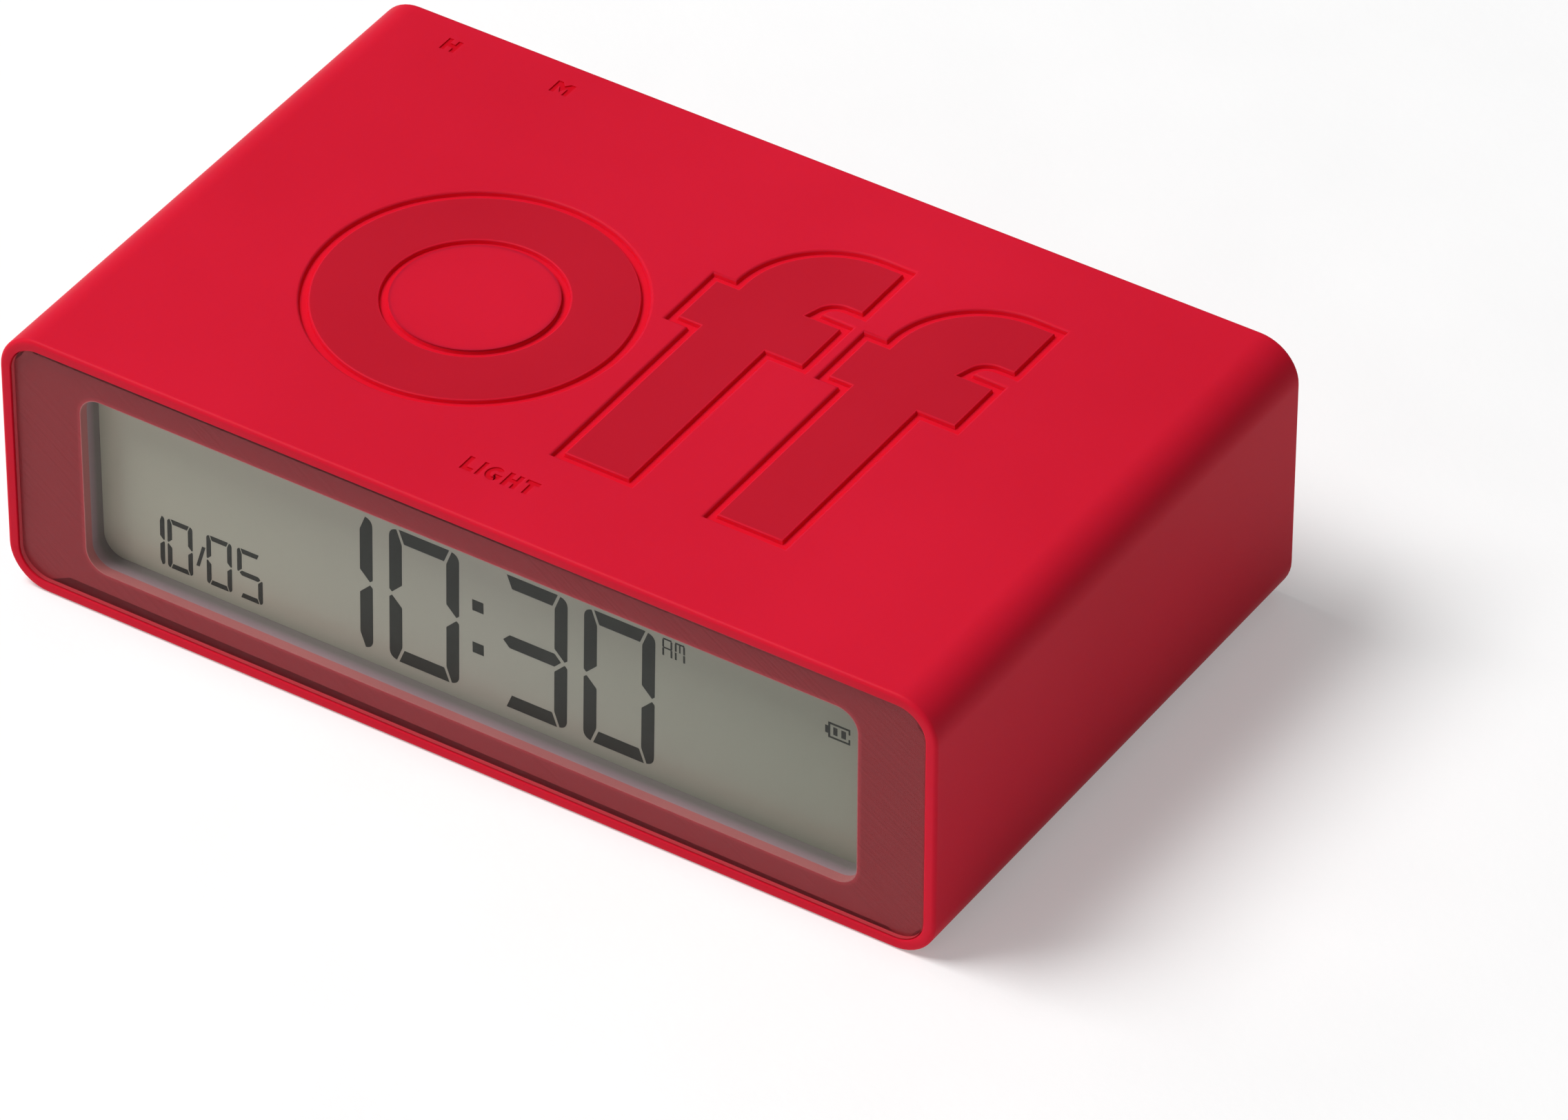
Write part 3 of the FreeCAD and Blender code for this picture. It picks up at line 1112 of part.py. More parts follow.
# Sheet-metal contacts: two at the left end with tails, and one that bridges the right end
def contacts():
    upper, lower = "Fits.middle + Fits.cell_lift", "Fits.middle - Fits.cell_lift"
    left = "Fits.bay_left + Sizes.contact_thickness / 2"
    right = "Fits.bay_right - Sizes.contact_thickness / 2"
    plus = joined("plus_contact", [
        contact_plate("plus_plate", left, upper, "Sizes.contact_width"),
        contact_bump("plus_bump", "Fits.bay_left", "right", upper),
        contact_tail("plus_tail", upper),
    ])
    minus = joined("minus_contact", [
        contact_plate("minus_plate", left, lower, "Sizes.contact_width"),
        contact_leaf("minus_leaf", "Fits.bay_left", 1, lower),
        contact_tail("minus_tail", lower),
    ])
    bridge = joined("bridge_contact", [
        contact_plate("bridge_plate", right, "Fits.middle",
                      "2 * Fits.cell_lift + Sizes.contact_width"),
        contact_leaf("bridge_leaf", "Fits.bay_right", -1, upper),
        contact_bump("bridge_bump", "Fits.bay_right", "left", lower),
    ])
    return [plus, minus, bridge]


# Four countersunk screws through the cover into the case
def cover_screws():
    head, shank = "Sizes.screw_head_diameter / 2", "Sizes.screw_diameter / 2"
    profile = [("0", "0"), ("0", head), (f"{head} - {shank}", shank), ("Sizes.screw_length", shank),
               ("Sizes.screw_length", "0")]
    screws = [turned(f"cover_screw_{index}", profile, "front", f"{side} * Fits.case_screw_side",
                     "Fits.cover_back", f"Fits.middle + {sign} * Fits.case_screw_lift")
              for index, (side, sign) in enumerate(CORNERS, start=1)]
    return gathered("cover_screws", screws)


light_reach = "Sizes.light_travel + Sizes.button_gap + Sizes.plunger_reach"
nodes = [
    outer_sleeve(), front_lens(), inner_case(), rear_cover(), battery_door(),
    lcd_holder(), lcd_panel(), light_guide(), backlight_leds(), zebra_strips(),
    main_board(), clock_chip(), quartz_crystal(), capacitor(), *tilt_switch(), *buzzer(),
    light_switch(), light_key(),
    plunger("light_plunger", light_reach, "down", "0", "Fits.light_centre", "Fits.light_hub_bottom"),
    *rear_keys(), button_switches(), mode_slider(), mode_switch(), button_board(),
    ffc_sockets(), ribbon_cable(), *cells(), *contacts(), cover_screws(),
]
doc.recompute()

os.makedirs("parts", exist_ok=True)
for item in doc.Objects:
    if "Invalid" in item.State or "Error" in item.State:
        raise RuntimeError(f"{item.Name} did not rebuild: {item.State}")
for node in nodes:
    if node.Shape.isNull() or not node.Shape.isValid():
        raise RuntimeError(f"{node.Label} has no valid shape")
    node.Shape.exportStep(f"parts/{node.Label}.step")
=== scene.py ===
import math

import bmesh
import bpy
from mathutils import Matrix, Vector


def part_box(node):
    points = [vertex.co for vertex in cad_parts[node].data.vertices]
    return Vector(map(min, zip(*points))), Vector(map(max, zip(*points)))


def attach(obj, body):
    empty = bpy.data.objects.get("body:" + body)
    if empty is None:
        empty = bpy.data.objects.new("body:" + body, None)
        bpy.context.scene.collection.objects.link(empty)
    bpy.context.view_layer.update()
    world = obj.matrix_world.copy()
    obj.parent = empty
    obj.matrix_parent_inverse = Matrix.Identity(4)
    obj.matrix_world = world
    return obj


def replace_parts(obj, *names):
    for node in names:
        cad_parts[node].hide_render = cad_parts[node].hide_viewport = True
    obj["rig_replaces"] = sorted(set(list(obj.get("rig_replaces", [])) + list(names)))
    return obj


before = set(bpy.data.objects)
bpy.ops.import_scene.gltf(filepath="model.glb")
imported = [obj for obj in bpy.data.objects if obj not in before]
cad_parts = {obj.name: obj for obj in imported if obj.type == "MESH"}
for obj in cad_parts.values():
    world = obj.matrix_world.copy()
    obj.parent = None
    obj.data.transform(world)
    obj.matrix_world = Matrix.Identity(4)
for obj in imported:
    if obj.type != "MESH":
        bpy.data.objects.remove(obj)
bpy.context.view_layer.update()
MM = 0.001

# Camera
# A long lens stands off the clock's front right corner and looks down at it from about 39 degrees.
IMAGE_WIDTH = 2274
FOCAL_PIXELS = 16612.5
SENSOR_WIDTH = 36.0
AZIMUTH = math.radians(32.6432)
ELEVATION = math.radians(38.7429)
ROLL = math.radians(0.2093)
CAMERA_DISTANCE = 1090.74 * MM
CAMERA_ASIDE = 12.7146 * MM
CAMERA_RAISED = 2.539 * MM

backward = Vector((math.sin(AZIMUTH) * math.cos(ELEVATION), -math.cos(AZIMUTH) * math.cos(ELEVATION),
                   math.sin(ELEVATION)))
level_right = (-backward).cross(Vector((0, 0, 1))).normalized()
level_up = level_right.cross(-backward)
camera_right = math.cos(ROLL) * level_right + math.sin(ROLL) * level_up
camera_up = -math.sin(ROLL) * level_right + math.cos(ROLL) * level_up
camera_place = backward * CAMERA_DISTANCE + camera_right * CAMERA_ASIDE + camera_up * CAMERA_RAISED

camera_data = bpy.data.cameras.new("photo_camera")
camera_data.sensor_width = SENSOR_WIDTH
camera_data.lens = SENSOR_WIDTH * FOCAL_PIXELS / IMAGE_WIDTH
camera_data.clip_start = 0.05
camera = bpy.data.objects.new("photo_camera", camera_data)
bpy.context.scene.collection.objects.link(camera)
camera.matrix_world = Matrix.Translation(camera_place) @ Matrix(
    (camera_right, camera_up, backward)).transposed().to_4x4()
bpy.context.scene.camera = camera
bpy.context.scene.view_settings.view_transform = "Standard"


# Lights
# A broad soft box high on the left, a weaker one in front and an even, dim white surround.
def linear(red, green, blue):
    """A colour of 0 to 255 a channel, as a screen shows it, in the renderer's own linear light."""
    channels = []
    for value in (red, green, blue):
        share = value / 255
        channels.append(share / 12.92 if share <= 0.04045 else ((share + 0.055) / 1.055) ** 2.4)
    return (*channels, 1.0)


def soft_box(name, place, size, power):
    """A square area lamp at a place, turned to face the clock."""
    lamp_data = bpy.data.lights.new(name, "AREA")
    lamp_data.shape = "SQUARE"
    lamp_data.size = size
    lamp_data.energy = power
    lamp = bpy.data.objects.new(name, lamp_data)
    bpy.context.scene.collection.objects.link(lamp)
    lamp.location = place
    lamp.rotation_euler = Vector(place).to_track_quat("Z", "Y").to_euler()
    return lamp


soft_box("key_soft_box", (-1.05, -0.5, 2.0), 1.2, 58.5)
soft_box("front_soft_box", (-0.3, -2.0, 1.0), 1.4, 4.0)

world = bpy.data.worlds.new("white_surround")
bpy.context.scene.world = world
world.use_nodes = True
world.node_tree.nodes["Background"].inputs["Color"].default_value = (1, 1, 1, 1)
world.node_tree.nodes["Background"].inputs["Strength"].default_value = 0.17


# Floor
# White paper that runs far past the picture's edges and catches the clock's soft shadow.
FLOOR_SIZE = 3.0


def new_material(name, colour, roughness):
    """A material whose one shader has a plain colour and roughness, ready for more detail."""
    material = bpy.data.materials.new(name)
    material.use_nodes = True
    shader = material.node_tree.nodes["Principled BSDF"]
    shader.inputs["Base Color"].default_value = colour
    shader.inputs["Roughness"].default_value = roughness
    return material


def shader_of(material):
    return material.node_tree.nodes["Principled BSDF"]


def add_node(material, kind, **settings):
    """A node of a kind in the material, with its named settings, or values of its named sockets."""
    node = material.node_tree.nodes.new(kind)
    for setting, value in settings.items():
        if hasattr(node, setting):
            setattr(node, setting, value)
        else:
            node.inputs[setting.replace("_", " ")].default_value = value
    return node


def link(material, source, target):
    material.node_tree.links.new(source, target)


def grain(material, scale, height, detail=2.0):
    """Fine grain all over a surface: a noise in the object's own space that lifts it by a height."""
    coordinates = add_node(material, "ShaderNodeTexCoord")
    noise = add_node(material, "ShaderNodeTexNoise", Scale=scale, Detail=detail)
    bump = add_node(material, "ShaderNodeBump", Distance=height, Strength=1.0)
    link(material, coordinates.outputs["Object"], noise.inputs["Vector"])
    link(material, noise.outputs["Fac"], bump.inputs["Height"])
    link(material, bump.outputs["Normal"], shader_of(material).inputs["Normal"])
    return noise


def tint_by_noise(material, dark, light, scale):
    """Soft patches between two colours, as pigment and handling leave them."""
    coordinates = add_node(material, "ShaderNodeTexCoord")
    noise = add_node(material, "ShaderNodeTexNoise", Scale=scale, Detail=3.0)
    ramp = add_node(material, "ShaderNodeValToRGB")
    ramp.color_ramp.elements[0].position = 0.3
    ramp.color_ramp.elements[0].color = dark
    ramp.color_ramp.elements[1].position = 0.7
    ramp.color_ramp.elements[1].color = light
    link(material, coordinates.outputs["Object"], noise.inputs["Vector"])
    link(material, noise.outputs["Fac"], ramp.inputs["Fac"])
    link(material, ramp.outputs["Color"], shader_of(material).inputs["Base Color"])


bpy.ops.object.select_all(action="DESELECT")
bpy.ops.mesh.primitive_plane_add(size=FLOOR_SIZE, location=(0, 0, 0))
floor = bpy.context.object
floor.name = "paper_floor"
paper = new_material("white_paper", linear(253, 253, 253), 0.42)
shader_of(paper).inputs["Specular IOR Level"].default_value = 0.8
tint_by_noise(paper, linear(251, 251, 251), linear(255, 255, 255), 40)
grain(paper, 900, 0.00002)
PAPER_GLOW = 0.29
paper_nodes = paper.node_tree.nodes
light_path = add_node(paper, "ShaderNodeLightPath")
seen = add_node(paper, "ShaderNodeMath", operation="MAXIMUM")
seen_or_mirrored = add_node(paper, "ShaderNodeMath", operation="MAXIMUM")
glow_share = add_node(paper, "ShaderNodeMath", operation="MULTIPLY")
glow_share.inputs[1].default_value = PAPER_GLOW
glow = add_node(paper, "ShaderNodeEmission", Color=(1, 1, 1, 1), Strength=1.0)
paper_mix = add_node(paper, "ShaderNodeMixShader")
link(paper, light_path.outputs["Is Camera Ray"], seen.inputs[0])
link(paper, light_path.outputs["Is Glossy Ray"], seen.inputs[1])
link(paper, seen.outputs["Value"], seen_or_mirrored.inputs[0])
link(paper, light_path.outputs["Is Transmission Ray"], seen_or_mirrored.inputs[1])
link(paper, seen_or_mirrored.outputs["Value"], glow_share.inputs[0])
link(paper, glow_share.outputs["Value"], paper_mix.inputs["Fac"])
link(paper, shader_of(paper).outputs["BSDF"], paper_mix.inputs[1])
link(paper, glow.outputs["Emission"], paper_mix.inputs[2])
link(paper, paper_mix.outputs["Shader"], paper_nodes["Material Output"].inputs["Surface"])
floor.data.materials.append(paper)


# Outer sleeve
# A thick tube of soft red silicone stretched over the case, moulded with rounded rims, open at the
# front and back. The word on its top is a sunk line round letters that stay level with the surface.
SLEEVE_CORNER = 4.4 * MM
SLEEVE_WALL = 1.2 * MM
RIM_ROUND = 0.4 * MM
INNER_RIM_ROUND = 0.12 * MM
SLEEVE_SMOOTH_ANGLE = math.radians(40)

SILICONE_RED = linear(208, 26, 51)
SILICONE_RED_DARK = linear(198, 23, 46)


def add_block(name, low, high):
    """A block between two corners, as a fresh object at the origin that is the active one."""
    bpy.ops.object.select_all(action="DESELECT")
    middle = [(a + b) / 2 for a, b in zip(low, high)]
    bpy.ops.mesh.primitive_cube_add(size=1, location=middle, scale=[b - a for a, b in zip(low, high)])
    bpy.ops.object.transform_apply(location=True, rotation=True, scale=True)
    bpy.context.object.name = name
    return bpy.context.object


def pick(piece, kind, test):
    """In edit mode: selects the piece's faces or edges that pass a test, and nothing else."""
    bpy.ops.mesh.select_mode(type=kind)
    bpy.ops.mesh.select_all(action="DESELECT")
    mesh = bmesh.from_edit_mesh(piece.data)
    for part in {"FACE": mesh.faces, "EDGE": mesh.edges, "VERT": mesh.verts}[kind]:
        part.select_set(bool(test(part)))
    mesh.select_flush_mode()
    bmesh.update_edit_mesh(piece.data)


def along(edge, axis):
    """Whether an edge runs along an axis, 0 to 2."""
    way = (edge.verts[1].co - edge.verts[0].co).normalized()
    return abs(way[axis]) > 0.99


def use_modifier(piece, kind, **settings):
    """Adds a modifier with its settings and applies it at once."""
    bpy.ops.object.select_all(action="DESELECT")
    bpy.context.view_layer.objects.active = piece
    piece.select_set(True)
    modifier = piece.modifiers.new(kind.title(), kind)
    for setting, value in settings.items():
        setattr(modifier, setting, value)
    bpy.ops.object.modifier_apply(modifier=modifier.name)


def smooth(piece, angle):
    """Smooth shading, with edges sharper than the angle kept crisp and flats kept flat."""
    bpy.ops.object.select_all(action="DESELECT")
    bpy.context.view_layer.objects.active = piece
    piece.select_set(True)
    bpy.ops.object.shade_smooth_by_angle(angle=angle)
    use_modifier(piece, "WEIGHTED_NORMAL", keep_sharp=True, weight=100)


sleeve_low, sleeve_high = [Vector(corner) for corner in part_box("outer_sleeve")]
TOP = sleeve_high.z
sleeve = add_block("silicone_sleeve", sleeve_low, sleeve_high)
bpy.ops.object.mode_set(mode="EDIT")
pick(sleeve, "FACE", lambda face: abs(face.normal.y) > 0.9)
bpy.ops.mesh.delete(type="ONLY_FACE")
pick(sleeve, "EDGE", lambda edge: along(edge, 1))
bpy.ops.mesh.bevel(offset=SLEEVE_CORNER, segments=12, affect="EDGES")
bpy.ops.object.mode_set(mode="OBJECT")
use_modifier(sleeve, "SOLIDIFY", thickness=SLEEVE_WALL, offset=-1.0, use_even_offset=True)


def on_end(edge):
    """Whether an edge lies on the front or back end of the sleeve, between the end and a wall."""
    ends = (sleeve_low.y, sleeve_high.y)
    at_end = any(all(abs(vert.co.y - end) < 1e-6 for vert in edge.verts) for end in ends)
    return at_end and any(abs(face.normal.y) < 0.5 for face in edge.link_faces)


def outside(edge):
    """Whether an edge of the sleeve belongs to its outer skin."""
    axis = Vector((0, 0, (sleeve_low.z + sleeve_high.z) / 2))
    middle = (edge.verts[0].co + edge.verts[1].co) / 2
    skins = [face for face in edge.link_faces if abs(face.normal.y) < 0.5]
    outward = Vector((middle.x, 0, middle.z - axis.z))
    return bool(skins) and skins[0].normal.dot(outward) > 0


bpy.ops.object.mode_set(mode="EDIT")
pick(sleeve, "EDGE", lambda edge: on_end(edge) and outside(edge))
bpy.ops.mesh.bevel(offset=RIM_ROUND, segments=5, affect="EDGES")
pick(sleeve, "EDGE", lambda edge: on_end(edge) and not outside(edge))
bpy.ops.mesh.bevel(offset=INNER_RIM_ROUND, segments=2, affect="EDGES")
bpy.ops.object.mode_set(mode="OBJECT")

red_silicone = new_material("red_silicone", SILICONE_RED, 0.46)
letter_red = new_material("letter_red", SILICONE_RED_DARK, 0.55)
# Painted light: the grooves round the letters take a brighter, more saturated red than the surface, a painted glow
# that lifts the shade inside them.
groove_painted_glow = new_material("groove_painted_glow", SILICONE_RED_DARK, 0.6)
mark_red = new_material("mark_red", SILICONE_RED_DARK, 0.6)
tint_by_noise(red_silicone, SILICONE_RED_DARK, SILICONE_RED, 25)
tint_by_noise(letter_red, linear(179, 21, 40), linear(187, 25, 44), 25)
tint_by_noise(groove_painted_glow, linear(212, 14, 38), linear(220, 18, 42), 25)
tint_by_noise(mark_red, linear(196, 6, 28), linear(202, 10, 32), 25)
for silicone in (red_silicone, letter_red, groove_painted_glow, mark_red):
    shader_of(silicone).inputs["Subsurface Weight"].default_value = 0.5
    shader_of(silicone).inputs["Subsurface Scale"].default_value = 0.8 * MM
    shader_of(silicone).inputs["Subsurface Radius"].default_value = (1.0, 0.2, 0.15)
    shader_of(silicone).inputs["Specular IOR Level"].default_value = 0.05
    grain(silicone, 9000, 0.0000045)
    sleeve.data.materials.append(silicone)
shader_of(groove_painted_glow).inputs["Subsurface Weight"].default_value = 0.9


# Sunk letters
# Each letter's outline is a groove with soft shoulders. A cutter with the groove's own section on its
# underside is taken out of the sleeve's top, and leaves the letter itself a hair below the surface.
GROOVE_WIDTH = 0.95 * MM
GROOVE_DEPTH = 0.48 * MM
SHOULDER = 0.30 * MM
LETTER_SUNK = 0.05 * MM
CUTTER_HEIGHT = 0.6 * MM
ARC_STEPS = 28


def shoulder_steps(radius, steps, rising):
    """How far in and how far down each step of a rounded shoulder goes, from level to upright."""
    stops = [math.radians(90 * step / steps) for step in range(steps + 1)]
    moves = [(radius * (math.sin(b) - math.sin(a)), radius * (math.cos(a) - math.cos(b)))
             for a, b in zip(stops, stops[1:])]
    return [(inward, -down) for inward, down in reversed(moves)] if rising else moves


def groove_steps():
    """The groove's section from the surface outside it to the letter inside it, as small moves."""
    corner = 0.12 * MM
    wall = GROOVE_DEPTH - SHOULDER - corner
    far_shoulder = 0.16 * MM
    far_wall = GROOVE_DEPTH - LETTER_SUNK - far_shoulder - corner
    return (shoulder_steps(SHOULDER, 5, False)
            + [(0.02 * MM, wall), (corner / 2, corner), (GROOVE_WIDTH - 2 * corner, 0), (corner / 2, -corner),
               (0.02 * MM, -far_wall)]
            + shoulder_steps(far_shoulder, 4, True))


def arc(centre_x, centre_y, radius, start, end, steps=ARC_STEPS):
    """Points in millimetres on an arc between two angles in degrees."""
    angles = [math.radians(start + (end - start) * step / steps) for step in range(steps + 1)]
    return [(centre_x + radius * math.cos(angle), centre_y + radius * math.sin(angle)) for angle in angles]


def letter_outline(shift, grow):
    """The tall letter's outline in millimetres: foot, cross bar, hooked top and the notch below it."""
    stem_left, stem_right = 2.15 - grow, 11.05 + grow
    bar_left, bar_right = -0.4 - grow, 15.2 + grow
    bar_low, bar_high = 3.36 - grow, 11.7 + grow
    foot, tip, tip_low = -19.7 - grow, 15.6 + grow, 13.2 - grow
    hook = 1.5 - grow
    hook_centre = (13.16, tip_low - hook)
    hook_start = 180 - math.degrees(math.asin((bar_high - hook_centre[1]) / hook))
    crown_centre = (12.3, 11.9)
    crown = crown_centre[0] - stem_left
    points = [(stem_left, foot), (stem_right, foot), (stem_right, bar_low), (bar_right, bar_low),
              (bar_right, bar_high)]
    points += arc(*hook_centre, hook, hook_start, 90, 12)
    points += [(tip, tip_low), (tip, crown_centre[1] + crown)]
    points += arc(*crown_centre, crown, 90, 180)[:-1]
    points += [(stem_left, bar_high), (bar_left, bar_high), (bar_left, bar_low), (stem_left, bar_low)]
    return [(x + shift, y) for x, y in points]


def flat_piece(name, outline, height):
    """One flat face with an outline in millimetres at a height, by way of a closed curve."""
    curve = bpy.data.curves.new(name, "CURVE")
    curve.dimensions = "3D"
    spline = curve.splines.new("POLY")
    spline.points.add(len(outline) - 1)
    for point, (x, y) in zip(spline.points, outline):
        point.co = (x * MM, y * MM, height, 1)
    spline.use_cyclic_u = True
    piece = bpy.data.objects.new(name, curve)
    bpy.context.scene.collection.objects.link(piece)
    bpy.ops.object.select_all(action="DESELECT")
    bpy.context.view_layer.objects.active = piece
    piece.select_set(True)
    bpy.ops.object.convert(target="MESH")
    piece = bpy.context.object
    bpy.ops.object.mode_set(mode="EDIT")
    bpy.ops.mesh.select_all(action="SELECT")
    bpy.ops.mesh.remove_doubles(threshold=1e-7)
    bpy.ops.mesh.edge_face_add()
    bpy.ops.mesh.normals_make_consistent(inside=False)
    bpy.ops.object.mode_set(mode="OBJECT")
    return piece


def cut_from_sleeve(cutter):
    """Takes a cutter out of the sleeve, and the cutter's own materials stay on the cut."""
    use_modifier(sleeve, "BOOLEAN", solver="MANIFOLD", operation="DIFFERENCE", object=cutter)
    bpy.data.objects.remove(cutter)


def raise_cutter(cutter):
    """In edit mode: draws the flat face up to a solid and leaves its underside selected."""
    bpy.ops.mesh.select_all(action="SELECT")
    bpy.ops.mesh.extrude_region_move(TRANSFORM_OT_translate={"value": (0, 0, CUTTER_HEIGHT)})
    bpy.ops.mesh.select_all(action="SELECT")
    bpy.ops.mesh.normals_make_consistent(inside=False)
    pick(cutter, "FACE", lambda face: face.normal.z < -0.9)


def colour_cut(cutter):
    """The letter's own face takes the letter's red, and the groove round it a brighter, more saturated red, a
    painted glow that lifts the groove's shade.
    """
    for material in (red_silicone, letter_red, groove_painted_glow):
        cutter.data.materials.append(material)
    for face in cutter.data.polygons:
        depth = TOP - face.center.z
        level = abs(face.normal.z) > 0.99
        if level and depth < 2 * LETTER_SUNK:
            face.material_index = 1
        elif depth > SHOULDER * 0.6:
            face.material_index = 2


for shift in (0.0, 16.8):
    cutter = flat_piece("letter_cutter", letter_outline(shift, SHOULDER / MM), TOP)
    bpy.ops.object.mode_set(mode="EDIT")
    bpy.ops.mesh.select_all(action="SELECT")
    raise_cutter(cutter)
    for inward, down in groove_steps():
        bpy.ops.mesh.inset(thickness=inward, depth=down)
    bpy.ops.object.mode_set(mode="OBJECT")
    colour_cut(cutter)
    cut_from_sleeve(cutter)

# Round letter
# Its two circles are cut by a ring with the same groove at both rims, spun round the letter's centre.
ROUND_CENTRE = Vector((-17.1 * MM, -3.8 * MM, TOP))
ROUND_OUTER = 16.55 * MM
ROUND_HOLE = 8.15 * MM
ROUND_STEPS = 128


def ring_profile():
    """The ring's section, from its outer top corner down through both grooves to its inner one."""
    points = [(ROUND_OUTER + SHOULDER, CUTTER_HEIGHT), (ROUND_OUTER + SHOULDER, 0)]
    for inward, down in groove_steps():
        radius, height = points[-1]
        points.append((radius - inward, height - down))
    inner = [(ROUND_HOLE - SHOULDER, 0)]
    for inward, down in groove_steps():
        radius, height = inner[-1]
        inner.append((radius + inward, height - down))
    return points + inner[::-1] + [(ROUND_HOLE - SHOULDER, CUTTER_HEIGHT)]


profile = [((ROUND_CENTRE.x + radius) / MM, ROUND_CENTRE.y / MM, height) for radius, height in ring_profile()]
ring = flat_piece("ring_cutter", [(x, y) for x, y, height in profile], TOP)
for vert, (x, y, height) in zip(ring.data.vertices, profile):
    vert.co = (x * MM, y * MM, TOP + height)
bpy.ops.object.mode_set(mode="EDIT")
bpy.ops.mesh.select_all(action="SELECT")
bpy.ops.mesh.delete(type="ONLY_FACE")
bpy.ops.mesh.select_all(action="SELECT")
bpy.ops.mesh.spin(steps=ROUND_STEPS, angle=2 * math.pi, center=ROUND_CENTRE, axis=(0, 0, 1))
bpy.ops.mesh.select_all(action="SELECT")
bpy.ops.mesh.remove_doubles(threshold=1e-7)
bpy.ops.mesh.normals_make_consistent(inside=False)
bpy.ops.object.mode_set(mode="OBJECT")
colour_cut(ring)
cut_from_sleeve(ring)


# Small marks
# The light key's word and the letters over the two setting keys are shallow engraved strokes.
MARK_DEPTH = 0.13 * MM
STROKE = 0.54


def box_letter(width, height, name):
    """The outline of a plain bold capital in millimetres, from its lower left corner."""
    half, bar_low, bar_high = width / 2, (height - STROKE) / 2, (height + STROKE) / 2
    if name == "I":
        return [(0, 0), (width, 0), (width, height), (0, height)]
    if name == "L":
        return [(0, 0), (width, 0), (width, STROKE), (STROKE, STROKE), (STROKE, height), (0, height)]
    if name == "T":
        stem_left, stem_right = half - STROKE / 2, half + STROKE / 2
        return [(stem_left, 0), (stem_right, 0), (stem_right, height - STROKE), (width, height - STROKE),
                (width, height), (0, height), (0, height - STROKE), (stem_left, height - STROKE)]
    if name == "H":
        right = width - STROKE
        return [(0, 0), (STROKE, 0), (STROKE, bar_low), (right, bar_low), (right, 0), (width, 0),
                (width, height), (right, height), (right, bar_high), (STROKE, bar_high),
                (STROKE, height), (0, height)]
    if name == "M":
        right, dip = width - STROKE, 0.3 * height
        return [(0, 0), (STROKE, 0), (STROKE, 0.6 * height), (half, dip - STROKE / 2),
                (right, 0.6 * height), (right, 0), (width, 0), (width, height),
                (right, height), (half, dip + 1.5 * STROKE), (STROKE, height), (0, height)]
    outer = arc(0, 0, 1, 45, 325, 18)
    spur = 0.52 * height
    points = [(half + x * half, height / 2 + y * height / 2) for x, y in outer]
    points += [(width, spur), (0.52 * width, spur), (0.52 * width, spur - 0.8 * STROKE),
               (width - STROKE, spur - 0.8 * STROKE)]
    points += [(half + x * (half - STROKE), height / 2 + y * (height / 2 - STROKE))
               for x, y in reversed(outer)]
    return points


def engrave(name, left, low, width, height):
    """Cuts one capital into the sleeve's top, at a lower left corner in millimetres."""
    outline = [(left + x, low + y) for x, y in box_letter(width, height, name)]
    mark = flat_piece("mark_cutter", outline, TOP - MARK_DEPTH)
    bpy.ops.object.mode_set(mode="EDIT")
    bpy.ops.mesh.select_all(action="SELECT")
    raise_cutter(mark)
    bpy.ops.object.mode_set(mode="OBJECT")
    mark.data.materials.append(mark_red)
    cut_from_sleeve(mark)


for name, left, width in (("L", 0, 1.3), ("I", 1.65, 0.45), ("G", 2.4, 1.8), ("H", 4.5, 1.57), ("T", 6.4, 1.46)):
    engrave(name, left - 3.93, -26.0, width, 2.05)
engrave("H", -42.22, 27.25, 1.65, 1.9)
engrave("M", -29.5, 27.25, 2.0, 1.9)

smooth(sleeve, SLEEVE_SMOOTH_ANGLE)
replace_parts(sleeve, "outer_sleeve")
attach(sleeve, "case")


# Front lens
# A thin smoky plate with a satin face, set flush inside the sleeve's front. The red case shows dimly
# through it, and the display through the case's window.
LENS_CORNER = 3.1 * MM
LENS_EDGE = 0.12 * MM

lens_low, lens_high = [Vector(corner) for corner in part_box("front_lens")]
lens = add_block("smoked_lens_plate", lens_low, lens_high)
bpy.ops.object.mode_set(mode="EDIT")
pick(lens, "EDGE", lambda edge: along(edge, 1))
bpy.ops.mesh.bevel(offset=LENS_CORNER, segments=12, affect="EDGES")
pick(lens, "FACE", lambda face: face.normal.y < -0.9)
bpy.ops.mesh.region_to_loop()
bpy.ops.mesh.bevel(offset=LENS_EDGE, segments=3, affect="EDGES")
bpy.ops.object.mode_set(mode="OBJECT")
smooth(lens, math.radians(40))
smoked = new_material("smoked_lens", linear(40, 38, 40), 0.22)
tint_by_noise(smoked, linear(38, 36, 38), linear(42, 40, 42), 60)
shader_of(smoked).inputs["Alpha"].default_value = 0.18
shader_of(smoked).inputs["Specular IOR Level"].default_value = 0.22
grain(smoked, 7000, 0.000003)
# Painted light: the lens's side faces are an opaque red with a faint pink glow of their own, so that the shaded
# gap between the lens and the sleeve shows as lit border red.
lens_edge_painted_glow = new_material("lens_edge_painted_glow", linear(200, 30, 44), 0.4)
tint_by_noise(lens_edge_painted_glow, linear(170, 28, 40), linear(178, 32, 44), 30)
shader_of(lens_edge_painted_glow).inputs["Emission Color"].default_value = linear(200, 70, 80)
shader_of(lens_edge_painted_glow).inputs["Emission Strength"].default_value = 0.3
for material in (smoked, lens_edge_painted_glow):
    lens.data.materials.append(material)
for face in lens.data.polygons:
    if abs(face.normal.y) < 0.1:
        face.material_index = 1
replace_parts(lens, "front_lens")
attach(lens, "case")


# Display marks
# The dark segments of the display: the time, the date, a day-half mark and a battery sign, each a
# thin film on the display's face.
FILM = 0.02 * MM
DIGIT_WIDTH = 7.84
DIGIT_HEIGHT = 15.86
SLANT = 0.0165
SEGMENTS_OF = {"0": "abcdef", "1": "bc", "3": "abcdg", "5": "acdfg"}

display_low, display_high = [Vector(corner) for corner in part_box("lcd_panel")]
DISPLAY_FACE = display_low.y


